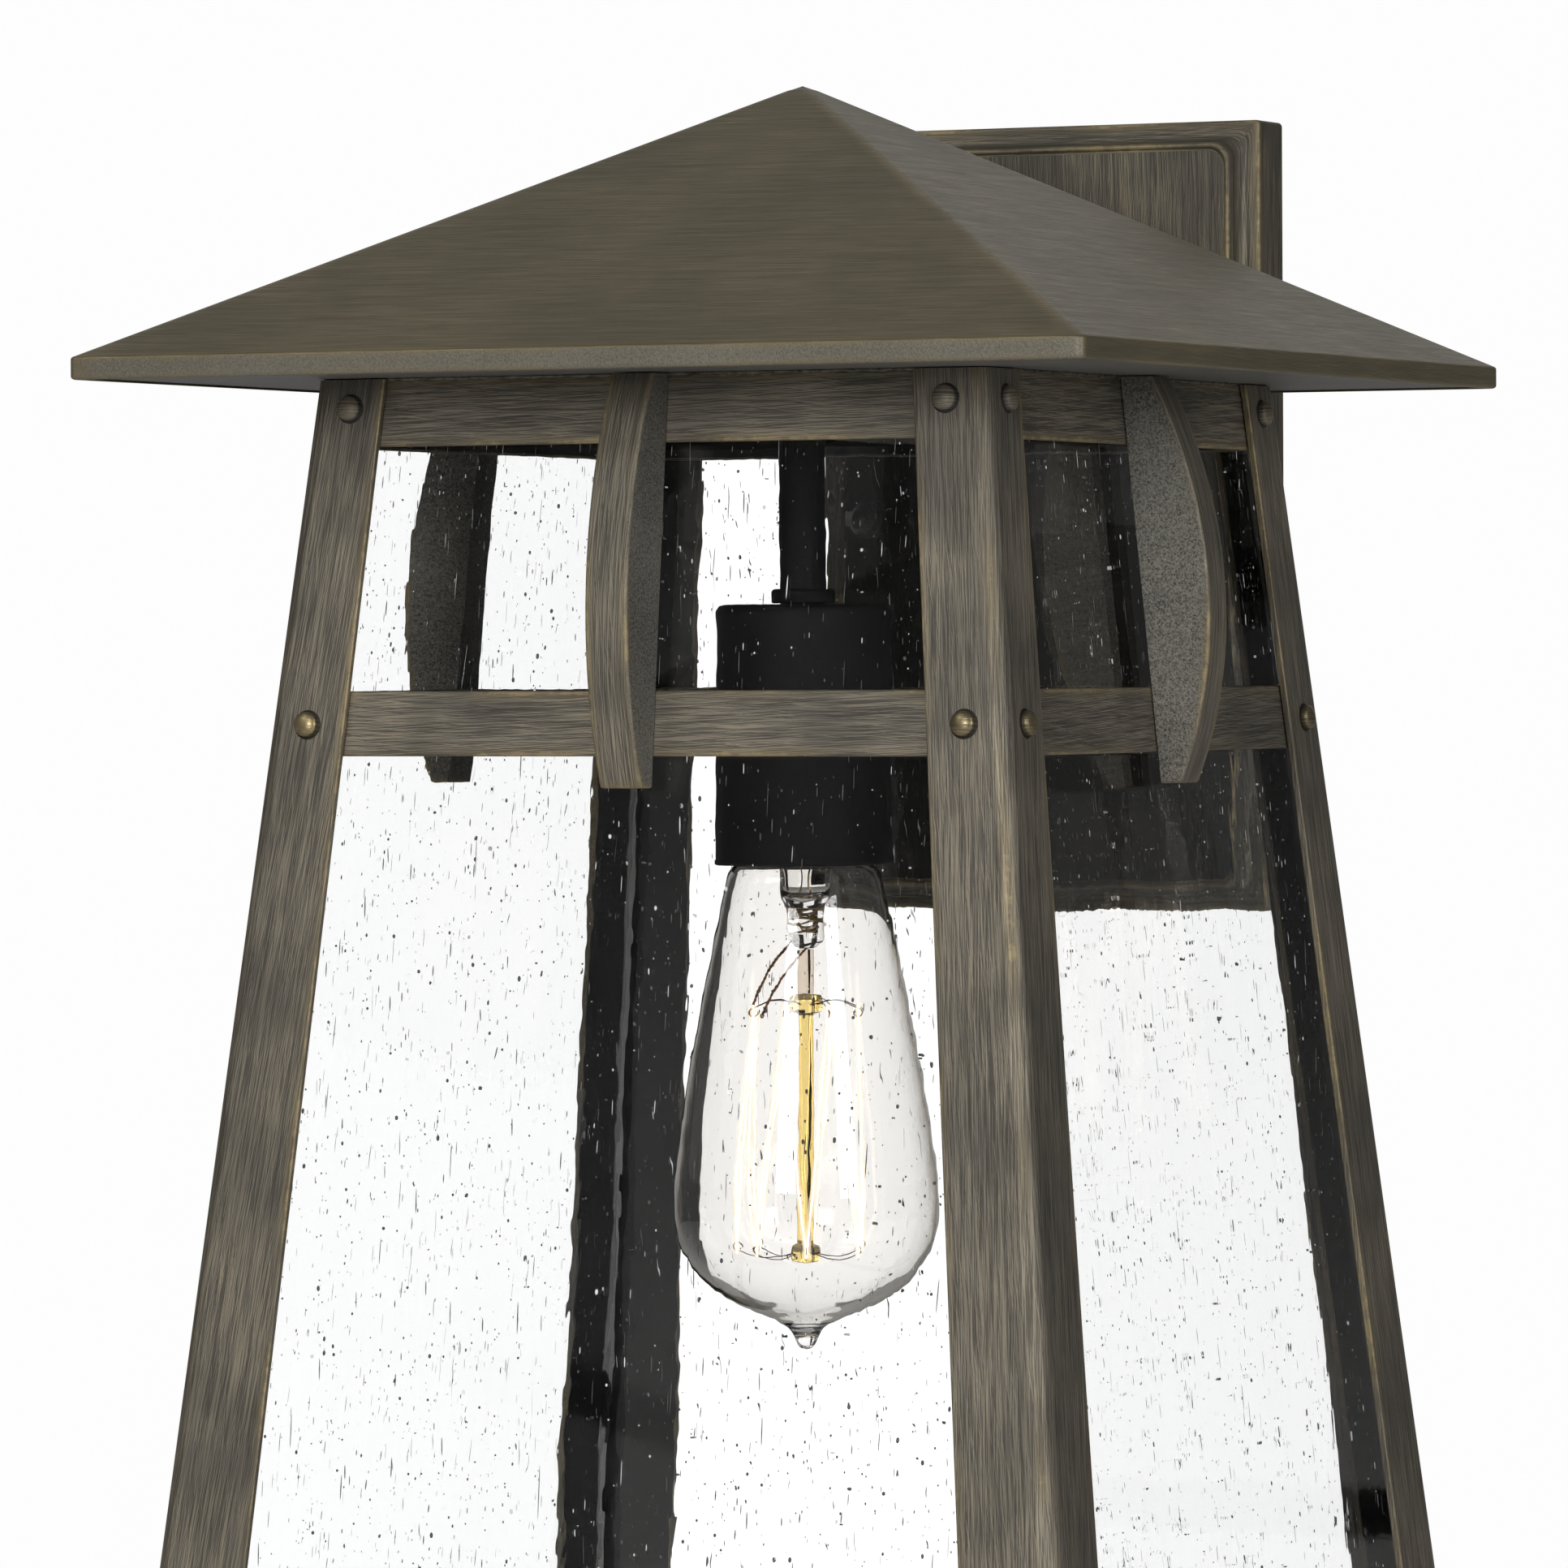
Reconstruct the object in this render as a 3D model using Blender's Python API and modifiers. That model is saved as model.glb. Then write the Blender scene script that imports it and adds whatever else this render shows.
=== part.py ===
"""Outdoor wall lantern: a flared four-legged metal body with seeded glass, hung from a wall plate.

Frame: +Z up, the front of the lantern faces -Y and the wall is the plane Y = 0. The origin is the
middle of the mounting bar's rear face, on the wall. Everything is in metres.

The body hangs on a vertical lantern axis, AXIS_TO_WALL in front of the wall. Heights on the body are
given as a depth below the eave, the lower edge of the roof's fascia, and the body widens steadily
with that depth. A piece that repeats round the body is made for the front and turned about the axis.
"""

import math

import bmesh
import bpy
import numpy as np
from mathutils import Matrix, Vector

MM = 0.001

# ---- overall sizes -------------------------------------------------------------------------------
ROOF_WIDTH = 258 * MM  # across the fascia
ROOF_RISE = 66.9 * MM  # from the fascia's upper edge to the apex
FASCIA_HEIGHT = 5.2 * MM
BODY_HEIGHT = 358 * MM  # from the eave down to the feet of the legs
BODY_TOP_WIDTH = 173.2 * MM  # across the legs at the eave
BODY_FLARE = 0.104  # how much each side moves out for each unit of depth
ROOF_TO_PLATE = 6.5 * MM  # from the fascia at the back to the wall plate's bead
EAVE_HEIGHT = 30.4 * MM  # above the centre of the wall plate

# ---- clearances ----------------------------------------------------------------------------------
GAP = 0.3 * MM  # between pieces that touch
HOLE_CLEARANCE = 0.4 * MM  # round a shaft or a wire in its hole

# ---- roof ----------------------------------------------------------------------------------------
ROOF_WALL = 1.8 * MM
ROOF_EDGE = 0.8 * MM  # rounding of the fascia's long edges
ROOF_CORNER = 2.0 * MM  # rounding of the fascia's corners, seen from above
ROOF_TIP = 1.6 * MM  # half width of the blunt apex
SOFFIT_RISE = 0.5 * MM  # the soffit lies this far above the eave
SOFFIT_THICKNESS = 1.5 * MM

# ---- legs ----------------------------------------------------------------------------------------
LEG_FLANGE = 18.6 * MM  # flange width at the eave
LEG_FLANGE_GROWTH = 0.02  # and how much it widens for each unit of depth
LEG_THICKNESS = 1.7 * MM
LEG_CORNER = 4.0 * MM  # outer rounding of the angle

# ---- rails, panes and brackets -------------------------------------------------------------------
RAIL_THICKNESS = 3.0 * MM
RAIL_EDGE = 0.6 * MM
TOP_RAIL_HEIGHT = 15.7 * MM
MID_RAIL_HEIGHT = 15.2 * MM
MID_RAIL_DEPTH = 73.0 * MM  # its upper edge, below the eave
BOTTOM_RAIL_HEIGHT = 15.2 * MM
GLASS_THICKNESS = 3.0 * MM
PANE_LIFT = 6.0 * MM  # the panes' lower edges, above the feet
LEDGE_THICKNESS = 2.0 * MM
LEDGE_WIDTH = 10.0 * MM
BRACKET_WIDTH = 10.8 * MM
BRACKET_HEIGHT = 95.5 * MM
BRACKET_STANDS = (8.0 * MM, 17.2 * MM, 5.1 * MM)  # out from the rails at its top, belly and toe
BRACKET_BELLY_DEPTH = 42.0 * MM
BRACKET_EDGE = 0.5 * MM
BRACKET_STEPS = 12  # points along the bow

# ---- rivets --------------------------------------------------------------------------------------
RIVET_RADIUS = 2.9 * MM
RIVET_STAND = 2.4 * MM
RIVET_INSET = 10.6 * MM  # from the leg's corner
RIVET_DROPS = {"top": 6.7 * MM, "mid": 7.8 * MM}  # below the upper edges of the rails behind them

# ---- wall plate and its fixings ------------------------------------------------------------------
PLATE_WIDTH = 120.2 * MM
PLATE_HEIGHT = 199.4 * MM
PLATE_RIM_DEPTH = 17.0 * MM  # front of the flat border, out from the wall
PLATE_RAISE = 6.5 * MM  # the centre panel stands this far in front of the border
PLATE_BORDER = 3.6 * MM
PLATE_COVE = 2.0 * MM
PLATE_BEAD = 1.6 * MM
PLATE_PANEL_SINK = 0.7 * MM
PLATE_WALL = 1.5 * MM
PLATE_CORNER = 1.2 * MM
PLATE_EDGE = 0.8 * MM  # rounding of the border's outer edge
PLATE_PANEL_CORNER = 4.5 * MM
GASKET_THICKNESS = 1.5 * MM
GASKET_WIDTH = 5.0 * MM
BAR_LENGTH = 104.0 * MM
BAR_WIDTH = 20.0 * MM
BAR_THICKNESS = 2.5 * MM
BAR_EDGE = 0.4 * MM
STUD_SPACING = 88.9 * MM
STUD_RADIUS = 2.1 * MM
STUD_OUT = 6.0 * MM  # how far a stud stands out of the plate
CAP_NUT_RADIUS = 4.8 * MM
CAP_NUT_LENGTH = 10.0 * MM
GROUND_SCREW_OFFSET = 24.0 * MM
GROUND_SCREW_RADIUS = 3.6 * MM
GROUND_SCREW_HEIGHT = 2.6 * MM

# ---- arm -----------------------------------------------------------------------------------------
ARM_WIDTH = 30.0 * MM
ARM_HEIGHT = 12.6 * MM
ARM_WALL = 1.8 * MM
ARM_END = 22.0 * MM  # the inner end stops this far behind the lantern axis
ARM_FLANGE_WIDTH = 44.0 * MM
ARM_FLANGE_HEIGHT = 26.0 * MM
ARM_FLANGE_THICKNESS = 2.0 * MM

# ---- stem and lampholder (depths are below the eave) ---------------------------------------------
STEM_RADIUS = 5.45 * MM
STEM_WALL = 1.55 * MM
STEM_END_DEPTH = 57.0 * MM
STEM_TOP_STAND = 9.0 * MM  # above the soffit
STEM_NUT_RADIUS = 8.6 * MM
STEM_NUT_HEIGHT = 3.6 * MM
COLLAR_RADIUS = 7.6 * MM
COLLAR_HEIGHT = 3.4 * MM
COLLAR_EDGE = 0.6 * MM
CUP_TOP_DEPTH = 52.9 * MM
CUP_HEIGHT = 62.5 * MM
CUP_RADIUS = 21.1 * MM
CUP_WALL = 1.2 * MM
CUP_SHOULDER = 1.6 * MM
CUP_LIP = 0.5 * MM
CUP_NUT_HEIGHT = 2.6 * MM
HOLDER_WALL = 2.2 * MM
HOLDER_HEIGHT = 46.0 * MM
HOLDER_CHAMFER = 1.5 * MM
HOLDER_CROWN = 11.5 * MM  # thickness of the porcelain above its bore
THREAD_CLEARANCE = 0.5 * MM  # of the shell round the bulb's base
THREAD_SHELL_WALL = 0.5 * MM
CONTACT_RADIUS = 3.5 * MM
CONTACT_PIN_RADIUS = 1.5 * MM
CONTACT_HEAD = 1.2 * MM

# ---- bulb (depths are below the eave) ------------------------------------------------------------
BULB_CONTACT_DEPTH = 79.5 * MM
BULB_CONTACT_RADIUS = 4.4 * MM
BULB_CONTACT_HEIGHT = 1.5 * MM
BULB_CONTACT_CROWN = 0.3 * MM
BULB_INSULATOR_HEIGHT = 3.6 * MM
BULB_BASE_RADIUS = 13.0 * MM
BULB_BASE_HEIGHT = 20.0 * MM
BULB_BASE_WALL = 0.3 * MM
BULB_BASE_SHOULDER = 1.2 * MM  # height of each of the two steps at the top of the base
BULB_GLASS_WALL = 0.7 * MM
BULB_NECK_LAP = 6.0 * MM  # how far the neck reaches up into the base
BULB_NECK_CLEARANCE = 0.5 * MM  # of the neck inside the base
BULB_RADIUS = 32.0 * MM
BULB_WIDEST_DEPTH = 197.9 * MM
BULB_TIP_DEPTH = 232.0 * MM
PRESS_RADIUS = 6.7 * MM
PRESS_END_DEPTH = 127.3 * MM
PRESS_TAPER = 3.0 * MM  # of its end
PRESS_BUTTON = 8.0 * MM  # height of the button below it
STEM_FLARE_DROP = 4.0 * MM  # how soon the flare narrows, and again below that
STEM_START = 1.0 * MM  # below the neck's upper end
ROD_TIP = 0.8 * MM
ROD_RADIUS = 1.9 * MM
ROD_END_DEPTH = 211.2 * MM
HUB_DEPTHS = (149.0 * MM, 209.0 * MM)
HUB_RADIUS = 3.8 * MM
HUB_HEIGHT = 4.4 * MM
FILAMENT_RADII = (13.4 * MM, 16.6 * MM)  # of the ring of strands at its top and foot
FILAMENT_STRANDS = 14
FILAMENT_WIRE = 0.25 * MM

# ---- wires ---------------------------------------------------------------------------------------
WIRE_RADIUS = 1.1 * MM
GROUND_WIRE_RADIUS = 0.8 * MM
WIRE_HOLE_INSET = 8.0 * MM  # of the soffit's hole, in front of the arm's inner end
WIRE_SPREAD = 1.6 * MM  # each lead's distance from the middle of the pair
WIRE_CREST = 5.0 * MM  # how far the leads arch above the stem
WIRE_BEND = 12.0 * MM  # behind the arm's end, where the leads lie straight again
WIRE_FROM_WALL = 7.0 * MM  # where the leads rise behind the plate
WIRE_RISE = 32.0 * MM
# Steps across, out and up from the screw, in millimetres.
GROUND_WIRE_ROUTE = ((3.0, 1.0, 8.0), (8.0, 2.0, 22.0), (6.0, 2.0, 42.0))

# ---- fineness of round shapes --------------------------------------------------------------------
TURN_STEPS = 32
SMALL_TURN_STEPS = 20
CORNER_STEPS = 4
FINE_TURN_STEPS = 16
SHARP_ANGLE = math.radians(35)  # an edge that bends by more than this stays sharp
BEVEL_ANGLE = math.radians(40)  # and one that bends by more than this can be rounded

# ---- derived -------------------------------------------------------------------------------------
ROOF_HALF = ROOF_WIDTH / 2
AXIS_TO_WALL = ROOF_HALF + ROOF_TO_PLATE + PLATE_RIM_DEPTH + PLATE_RAISE
RIVET_DEPTHS = {"top": RIVET_DROPS["top"], "mid": MID_RAIL_DEPTH + RIVET_DROPS["mid"]}
STEM_BORE = STEM_RADIUS - STEM_WALL
THREAD_SHELL_BORE = BULB_BASE_RADIUS + THREAD_CLEARANCE
HOLDER_RADIUS = THREAD_SHELL_BORE + THREAD_SHELL_WALL + GAP + HOLDER_WALL
BULB_NECK_RADIUS = BULB_BASE_RADIUS - BULB_BASE_WALL - BULB_NECK_CLEARANCE
HOLDER_TOP_DEPTH = CUP_TOP_DEPTH + CUP_WALL + CUP_NUT_HEIGHT + 2 * GAP
RAIL_RECESS = LEG_THICKNESS + GAP
PANE_RECESS = RAIL_RECESS + RAIL_THICKNESS + GAP
CHAMBER_RECESS = PANE_RECESS + GLASS_THICKNESS
BODY_TOP_DEPTH = GAP - SOFFIT_RISE
SOFFIT_TOP = SOFFIT_RISE + SOFFIT_THICKNESS
PANEL_FRONT = PLATE_RIM_DEPTH + PLATE_RAISE - PLATE_PANEL_SINK
PANEL_BACK = PANEL_FRONT - PLATE_WALL
ARM_DEPTH = BODY_TOP_DEPTH + GAP + ARM_HEIGHT / 2  # of the arm's centre line
ARM_LEVEL = EAVE_HEIGHT - ARM_DEPTH
WIRE_HOLE_RADIUS = WIRE_SPREAD + WIRE_RADIUS + HOLE_CLEARANCE
WIRE_HOLE_BACK = ARM_END - WIRE_HOLE_INSET
SHELL_TOP_DEPTH = HOLDER_TOP_DEPTH + HOLDER_CROWN + GAP
BULB_BASE_DEPTH = BULB_CONTACT_DEPTH + BULB_CONTACT_HEIGHT + BULB_INSULATOR_HEIGHT + 2 * GAP
BULB_NECK_DEPTH = BULB_BASE_DEPTH + BULB_BASE_HEIGHT - BULB_NECK_LAP
CONTACT_FACE_DEPTH = BULB_CONTACT_DEPTH - GAP

SIDES = {"front": 0.0, "right": 90.0, "back": 180.0, "left": 270.0}
CORNERS = {"front_right": 0.0, "back_right": 90.0, "back_left": 180.0, "front_left": 270.0}


# ---- scene and materials -------------------------------------------------------------------------
def clear_scene():
    """Removes what the start-up file holds."""
    for obj in list(bpy.data.objects):
        bpy.data.objects.remove(obj)


def new_collection(name):
    """A collection of this name, linked to the scene."""
    collection = bpy.data.collections.new(name)
    bpy.context.scene.collection.children.link(collection)
    return collection


def make_material(name, color, roughness, metallic=0.0, alpha=1.0):
    """A Principled material of one colour."""
    material = bpy.data.materials.new(name)
    material.use_nodes = True
    shader = material.node_tree.nodes["Principled BSDF"]
    shader.inputs["Base Color"].default_value = (*color, 1.0)
    shader.inputs["Roughness"].default_value = roughness
    shader.inputs["Metallic"].default_value = metallic
    shader.inputs["Alpha"].default_value = alpha
    return material


clear_scene()
PARTS = new_collection("outdoor_wall_lantern")
CUTTERS = new_collection("cutters")

AXIS = bpy.data.objects.new("lantern_axis", None)
AXIS.location = (0.0, -AXIS_TO_WALL, EAVE_HEIGHT)
PARTS.objects.link(AXIS)

BRONZE = make_material("burnished_bronze", (0.075, 0.066, 0.050), 0.45, 0.7)
BLACK = make_material("black_paint", (0.012, 0.011, 0.011), 0.5)
GLASS = make_material("seeded_glass", (0.95, 0.96, 0.96), 0.05, 0.0, 0.2)
BULB_GLASS = make_material("bulb_glass", (0.95, 0.93, 0.88), 0.03, 0.0, 0.15)
BRASS = make_material("brass", (0.75, 0.52, 0.22), 0.35, 1.0)
STEEL = make_material("zinc_plated_steel", (0.60, 0.60, 0.58), 0.4, 1.0)
NICKEL = make_material("nickel_shell", (0.70, 0.69, 0.66), 0.3, 1.0)
PORCELAIN = make_material("porcelain", (0.85, 0.84, 0.80), 0.25)
RUBBER = make_material("foam_rubber", (0.03, 0.03, 0.03), 0.9)
FILAMENT = make_material("filament", (1.0, 0.55, 0.15), 0.5)
BLACK_LEAD = make_material("black_lead", (0.02, 0.02, 0.02), 0.5)
WHITE_LEAD = make_material("white_lead", (0.85, 0.85, 0.82), 0.5)
COPPER = make_material("copper", (0.55, 0.32, 0.16), 0.35, 1.0)


# ---- helpers -------------------------------------------------------------------------------------
def body_half(depth):
    """Half the width across the legs at this depth below the eave."""
    return BODY_TOP_WIDTH / 2 + BODY_FLARE * depth


def finish_object(name, mesh, material, smooth=True, turn=0.0, parent=AXIS):
    """Makes the named object of a mesh, turned about the lantern axis or left in the wall's frame."""
    obj = bpy.data.objects.new(name, mesh)
    mesh.materials.append(material)
    if smooth:
        mesh.shade_smooth()
        mesh.set_sharp_from_angle(angle=SHARP_ANGLE)
    obj.parent = parent
    obj.rotation_euler.z = math.radians(turn)
    PARTS.objects.link(obj)
    return obj


def mesh_of(name, bm):
    """Turns a bmesh into a mesh whose faces point out."""
    bmesh.ops.recalc_face_normals(bm, faces=bm.faces)
    mesh = bpy.data.meshes.new(name)
    bm.to_mesh(mesh)
    bm.free()
    return mesh


def add_bevel(obj, width, segments=2):
    """Rounds every sharp edge of an object."""
    bevel = obj.modifiers.new("rounded_edges", "BEVEL")
    bevel.width = width
    bevel.segments = segments
    bevel.limit_method = "ANGLE"
    bevel.angle_limit = BEVEL_ANGLE


def cut(obj, cutter):
    """Cuts one object with another by an exact Boolean."""
    modifier = obj.modifiers.new("cut_" + cutter.name, "BOOLEAN")
    modifier.operation = "DIFFERENCE"
    modifier.object = cutter


def box_mesh(name, low, high):
    """A box between two corners, made from the cube primitive."""
    bm = bmesh.new()
    size = Vector(high) - Vector(low)
    middle = (Vector(high) + Vector(low)) / 2
    matrix = Matrix.Translation(middle) @ Matrix.Diagonal((*size, 1.0))
    bmesh.ops.create_cube(bm, size=1.0, matrix=matrix)
    return mesh_of(name, bm)


def add_cutter(name, mesh, parent=AXIS):
    """A hidden object that only cuts others."""
    cutter = bpy.data.objects.new(name, mesh)
    cutter.parent = parent
    cutter.hide_render = True
    cutter.display_type = "WIRE"
    CUTTERS.objects.link(cutter)
    return cutter


def cylinder_mesh(name, radius, start, end, steps=SMALL_TURN_STEPS):
    """A capped cylinder from one point to another, made from the cone primitive."""
    bm = bmesh.new()
    axis = Vector(end) - Vector(start)
    turn = Vector((0, 0, 1)).rotation_difference(axis).to_matrix().to_4x4()
    matrix = Matrix.Translation((Vector(start) + Vector(end)) / 2) @ turn
    bmesh.ops.create_cone(
        bm, cap_ends=True, segments=steps, radius1=radius, radius2=radius, depth=axis.length, matrix=matrix
    )
    return mesh_of(name, bm)


def turned(name, profile, material, steps=TURN_STEPS, at=(0.0, 0.0, 0.0), tilt=None, parent=AXIS):
    """A turned piece: a closed profile of (radius, height) points, top to bottom on the outside.

    A Screw turns it. Neighbouring points that both lie on the axis get no edge between them.
    """
    mesh = bpy.data.meshes.new(name)
    pairs = [(i, (i + 1) % len(profile)) for i in range(len(profile))]
    edges = [(i, j) for i, j in pairs if profile[i][0] > 0 or profile[j][0] > 0]
    mesh.from_pydata([(radius, 0.0, height) for radius, height in profile], edges, [])
    obj = finish_object(name, mesh, material, smooth=False, parent=parent)
    obj.location = at
    if tilt:
        obj.rotation_euler = tilt
    screw = obj.modifiers.new("turn", "SCREW")
    screw.steps = steps
    screw.render_steps = steps
    screw.use_merge_vertices = True
    screw.merge_threshold = 0.000001
    screw.use_smooth_shade = True
    return obj


def ring_stack(name, rings, material, parent=AXIS):
    """A closed skin through rings of equal length: quads between neighbours, and a face on each end."""
    bm = bmesh.new()
    loops = [[bm.verts.new(point) for point in ring] for ring in rings]
    for lower, upper in zip(loops, loops[1:]):
        for i in range(len(lower)):
            j = (i + 1) % len(lower)
            bm.faces.new((lower[i], lower[j], upper[j], upper[i]))
    bm.faces.new(loops[0])
    bm.faces.new(loops[-1])
    return finish_object(name, mesh_of(name, bm), material, parent=parent)


def rounded_rectangle(half_width, half_height, radius):
    """Points round a rectangle with rounded corners, counter-clockwise from the right-hand side."""
    points = []
    for corner in range(4):
        sign_x = 1 if corner in (0, 3) else -1
        sign_y = 1 if corner in (0, 1) else -1
        for step in range(CORNER_STEPS + 1):
            angle = math.radians(90 * (corner + step / CORNER_STEPS))
            x = sign_x * (half_width - radius) + radius * math.cos(angle)
            y = sign_y * (half_height - radius) + radius * math.sin(angle)
            points.append((x, y))
    return points


def prism(bm, lower, upper):
    """Closes a solid between two outlines with the same number of points."""
    bottom = [bm.verts.new(point) for point in lower]
    face = bm.faces.new(bottom)
    made = bmesh.ops.extrude_face_region(bm, geom=[face], use_keep_orig=True)
    top = [item for item in made["geom"] if isinstance(item, bmesh.types.BMVert)]
    placed = {tuple(round(c, 9) for c in point): target for point, target in zip(lower, upper)}
    for vert in top:
        vert.co = placed[min(placed, key=lambda point: (Vector(point) - vert.co).length)]


def arc_through(first, middle, last, count):
    """Points of the circle arc that runs through three points in a plane."""
    (ax, ay), (bx, by), (cx, cy) = first, middle, last
    double = 2 * (ax * (by - cy) + bx * (cy - ay) + cx * (ay - by))
    square = (ax * ax + ay * ay, bx * bx + by * by, cx * cx + cy * cy)
    ux = (square[0] * (by - cy) + square[1] * (cy - ay) + square[2] * (ay - by)) / double
    uy = (square[0] * (cx - bx) + square[1] * (ax - cx) + square[2] * (bx - ax)) / double
    radius = math.hypot(ax - ux, ay - uy)
    start = math.atan2(ay - uy, ax - ux)
    end = math.atan2(cy - uy, cx - ux)
    sweep = (end - start + math.pi) % (2 * math.pi) - math.pi
    angles = [start + sweep * i / (count - 1) for i in range(count)]
    return [(ux + radius * math.cos(a), uy + radius * math.sin(a)) for a in angles]


def smooth_line(points, per_span):
    """A Catmull-Rom curve through the points, with this many steps in each span."""
    known = [np.array(point, float) for point in points]
    known = [2 * known[0] - known[1], *known, 2 * known[-1] - known[-2]]
    found = []
    for before, start, end, after in zip(known, known[1:], known[2:], known[3:]):
        for step in range(per_span):
            t = step / per_span
            found.append(
                0.5
                * (
                    2 * start
                    + (end - before) * t
                    + (2 * before - 5 * start + 4 * end - after) * t**2
                    + (3 * start - before - 3 * end + after) * t**3
                )
            )
    found.append(known[-2])
    return [tuple(float(c) for c in point) for point in found]


def wire(name, points, radius, material, parent=AXIS):
    """A round wire along a chain of points, as a curve with filled caps."""
    curve = bpy.data.curves.new(name, "CURVE")
    curve.dimensions = "3D"
    curve.bevel_depth = radius
    curve.bevel_resolution = 2
    curve.use_fill_caps = True
    spline = curve.splines.new("POLY")
    spline.points.add(len(points) - 1)
    for target, point in zip(spline.points, points):
        target.co = (*point, 1.0)
    curve.materials.append(material)
    obj = bpy.data.objects.new(name, curve)
    obj.parent = parent
    PARTS.objects.link(obj)
    return obj


# ---- roof ----------------------------------------------------------------------------------------
def roof_ring(half, height, corner):
    return [(x, y, height) for x, y in rounded_rectangle(half, half, corner)]


def make_roof():
    """The pyramid with its upright fascia, a thin shell open below, and the soffit that closes it."""
    top = FASCIA_HEIGHT + ROOF_RISE
    slope = ROOF_RISE / ROOF_HALF
    inner = ROOF_HALF - ROOF_WALL
    # The inner faces run parallel to the outer ones, one wall away.
    inner_drop = ROOF_WALL * math.hypot(1.0, slope)
    inner_corner_height = FASCIA_HEIGHT + ROOF_WALL * slope - inner_drop
    rings = [
        roof_ring(ROOF_TIP, top - ROOF_TIP * slope - inner_drop, ROOF_TIP / 2),
        roof_ring(inner, inner_corner_height, ROOF_CORNER / 2),
        roof_ring(inner, 0.0, ROOF_CORNER / 2),
        roof_ring(ROOF_HALF - ROOF_EDGE, 0.0, ROOF_CORNER),
        roof_ring(ROOF_HALF - ROOF_EDGE * 0.3, ROOF_EDGE * 0.3, ROOF_CORNER),
        roof_ring(ROOF_HALF, ROOF_EDGE, ROOF_CORNER),
        roof_ring(ROOF_HALF, FASCIA_HEIGHT - ROOF_EDGE, ROOF_CORNER),
        roof_ring(ROOF_HALF - ROOF_EDGE * 0.3, FASCIA_HEIGHT - ROOF_EDGE * 0.2, ROOF_CORNER),
        roof_ring(ROOF_HALF - ROOF_EDGE, FASCIA_HEIGHT + ROOF_EDGE * slope, ROOF_CORNER),
        roof_ring(ROOF_TIP, top - ROOF_TIP * slope, ROOF_TIP * 0.9),
        roof_ring(ROOF_TIP * 0.5, top - ROOF_TIP * slope * 0.4, ROOF_TIP * 0.4),
    ]
    ring_stack("roof_cover", rings, BRONZE)

    half = inner - GAP
    lower = roof_ring(half, SOFFIT_RISE, ROOF_CORNER / 2)
    upper = roof_ring(half, SOFFIT_TOP, ROOF_CORNER / 2)
    soffit = ring_stack("roof_soffit", [lower, upper], BRONZE)
    through = (SOFFIT_RISE - GAP, SOFFIT_TOP + GAP)
    ends = ((0, 0, through[0]), (0, 0, through[1]))
    stem_hole = cylinder_mesh("stem_hole", STEM_RADIUS + HOLE_CLEARANCE, *ends)
    cut(soffit, add_cutter("stem_hole", stem_hole))
    wire_hole = cylinder_mesh(
        "wire_hole",
        WIRE_HOLE_RADIUS,
        (0, WIRE_HOLE_BACK, through[0]),
        (0, WIRE_HOLE_BACK, through[1]),
    )
    cut(soffit, add_cutter("wire_hole", wire_hole))


# ---- body ----------------------------------------------------------------------------------------
def leg_outline(depth):
    """The angle section of the front right leg at this depth, seen from above."""
    half = body_half(depth)
    flange = LEG_FLANGE + LEG_FLANGE_GROWTH * depth
    wall = LEG_THICKNESS
    centre = half - LEG_CORNER
    points = [(half - flange, -half)]
    for step in range(CORNER_STEPS + 1):
        angle = math.radians(-90 + 90 * step / CORNER_STEPS)
        points.append((centre + LEG_CORNER * math.cos(angle), -centre + LEG_CORNER * math.sin(angle)))
    points.append((half, -half + flange))
    points.append((half - wall, -half + flange))
    for step in range(CORNER_STEPS + 1):
        angle = math.radians(-90 * step / CORNER_STEPS)
        inner = LEG_CORNER - wall
        points.append((centre + inner * math.cos(angle), -centre + inner * math.sin(angle)))
    points.append((half - flange, -half + wall))
    return [(x, y, -depth) for x, y in points]


def make_legs():
    """Four angle legs that splay with the body, their flanges widening towards the feet."""
    for name, turn in CORNERS.items():
        bm = bmesh.new()
        prism(bm, leg_outline(BODY_HEIGHT), leg_outline(BODY_TOP_DEPTH))
        finish_object("leg_" + name, mesh_of("leg_" + name, bm), BRONZE, turn=turn)


def flared_plate(name, turn, top, bottom, recess, thickness, inset, material, edge=0.0):
    """A flat bar or pane that leans with the body.

    Its outer face lies recess inside the legs' outer faces, and each end stops inset short of the
    line of the neighbouring side.
    """
    bm = bmesh.new()
    bmesh.ops.create_cube(bm, size=2.0)
    for vert in bm.verts:
        depth = top if vert.co.z > 0 else bottom
        half = body_half(depth)
        out = recess if vert.co.y < 0 else recess + thickness
        vert.co = (math.copysign(half - inset, vert.co.x), out - half, -depth)
    obj = finish_object(name, mesh_of(name, bm), material, turn=turn)
    if edge:
        add_bevel(obj, edge)
    return obj


def make_rails():
    """Three tiers of rails behind the legs' flanges. The side rails butt between the others."""
    tiers = {
        "top_rail": (BODY_TOP_DEPTH, TOP_RAIL_HEIGHT),
        "mid_rail": (MID_RAIL_DEPTH, MID_RAIL_DEPTH + MID_RAIL_HEIGHT),
        "bottom_rail": (BODY_HEIGHT - BOTTOM_RAIL_HEIGHT, BODY_HEIGHT),
    }
    for tier, (top, bottom) in tiers.items():
        for side, turn in SIDES.items():
            between = side in ("left", "right")
            inset = PANE_RECESS if between else LEG_CORNER
            name = tier + "_" + side
            rail = flared_plate(
                name, turn, top, bottom, RAIL_RECESS, RAIL_THICKNESS, inset, BRONZE, RAIL_EDGE
            )
            if name == "top_rail_back":
                cut_arm_window(rail)


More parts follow.
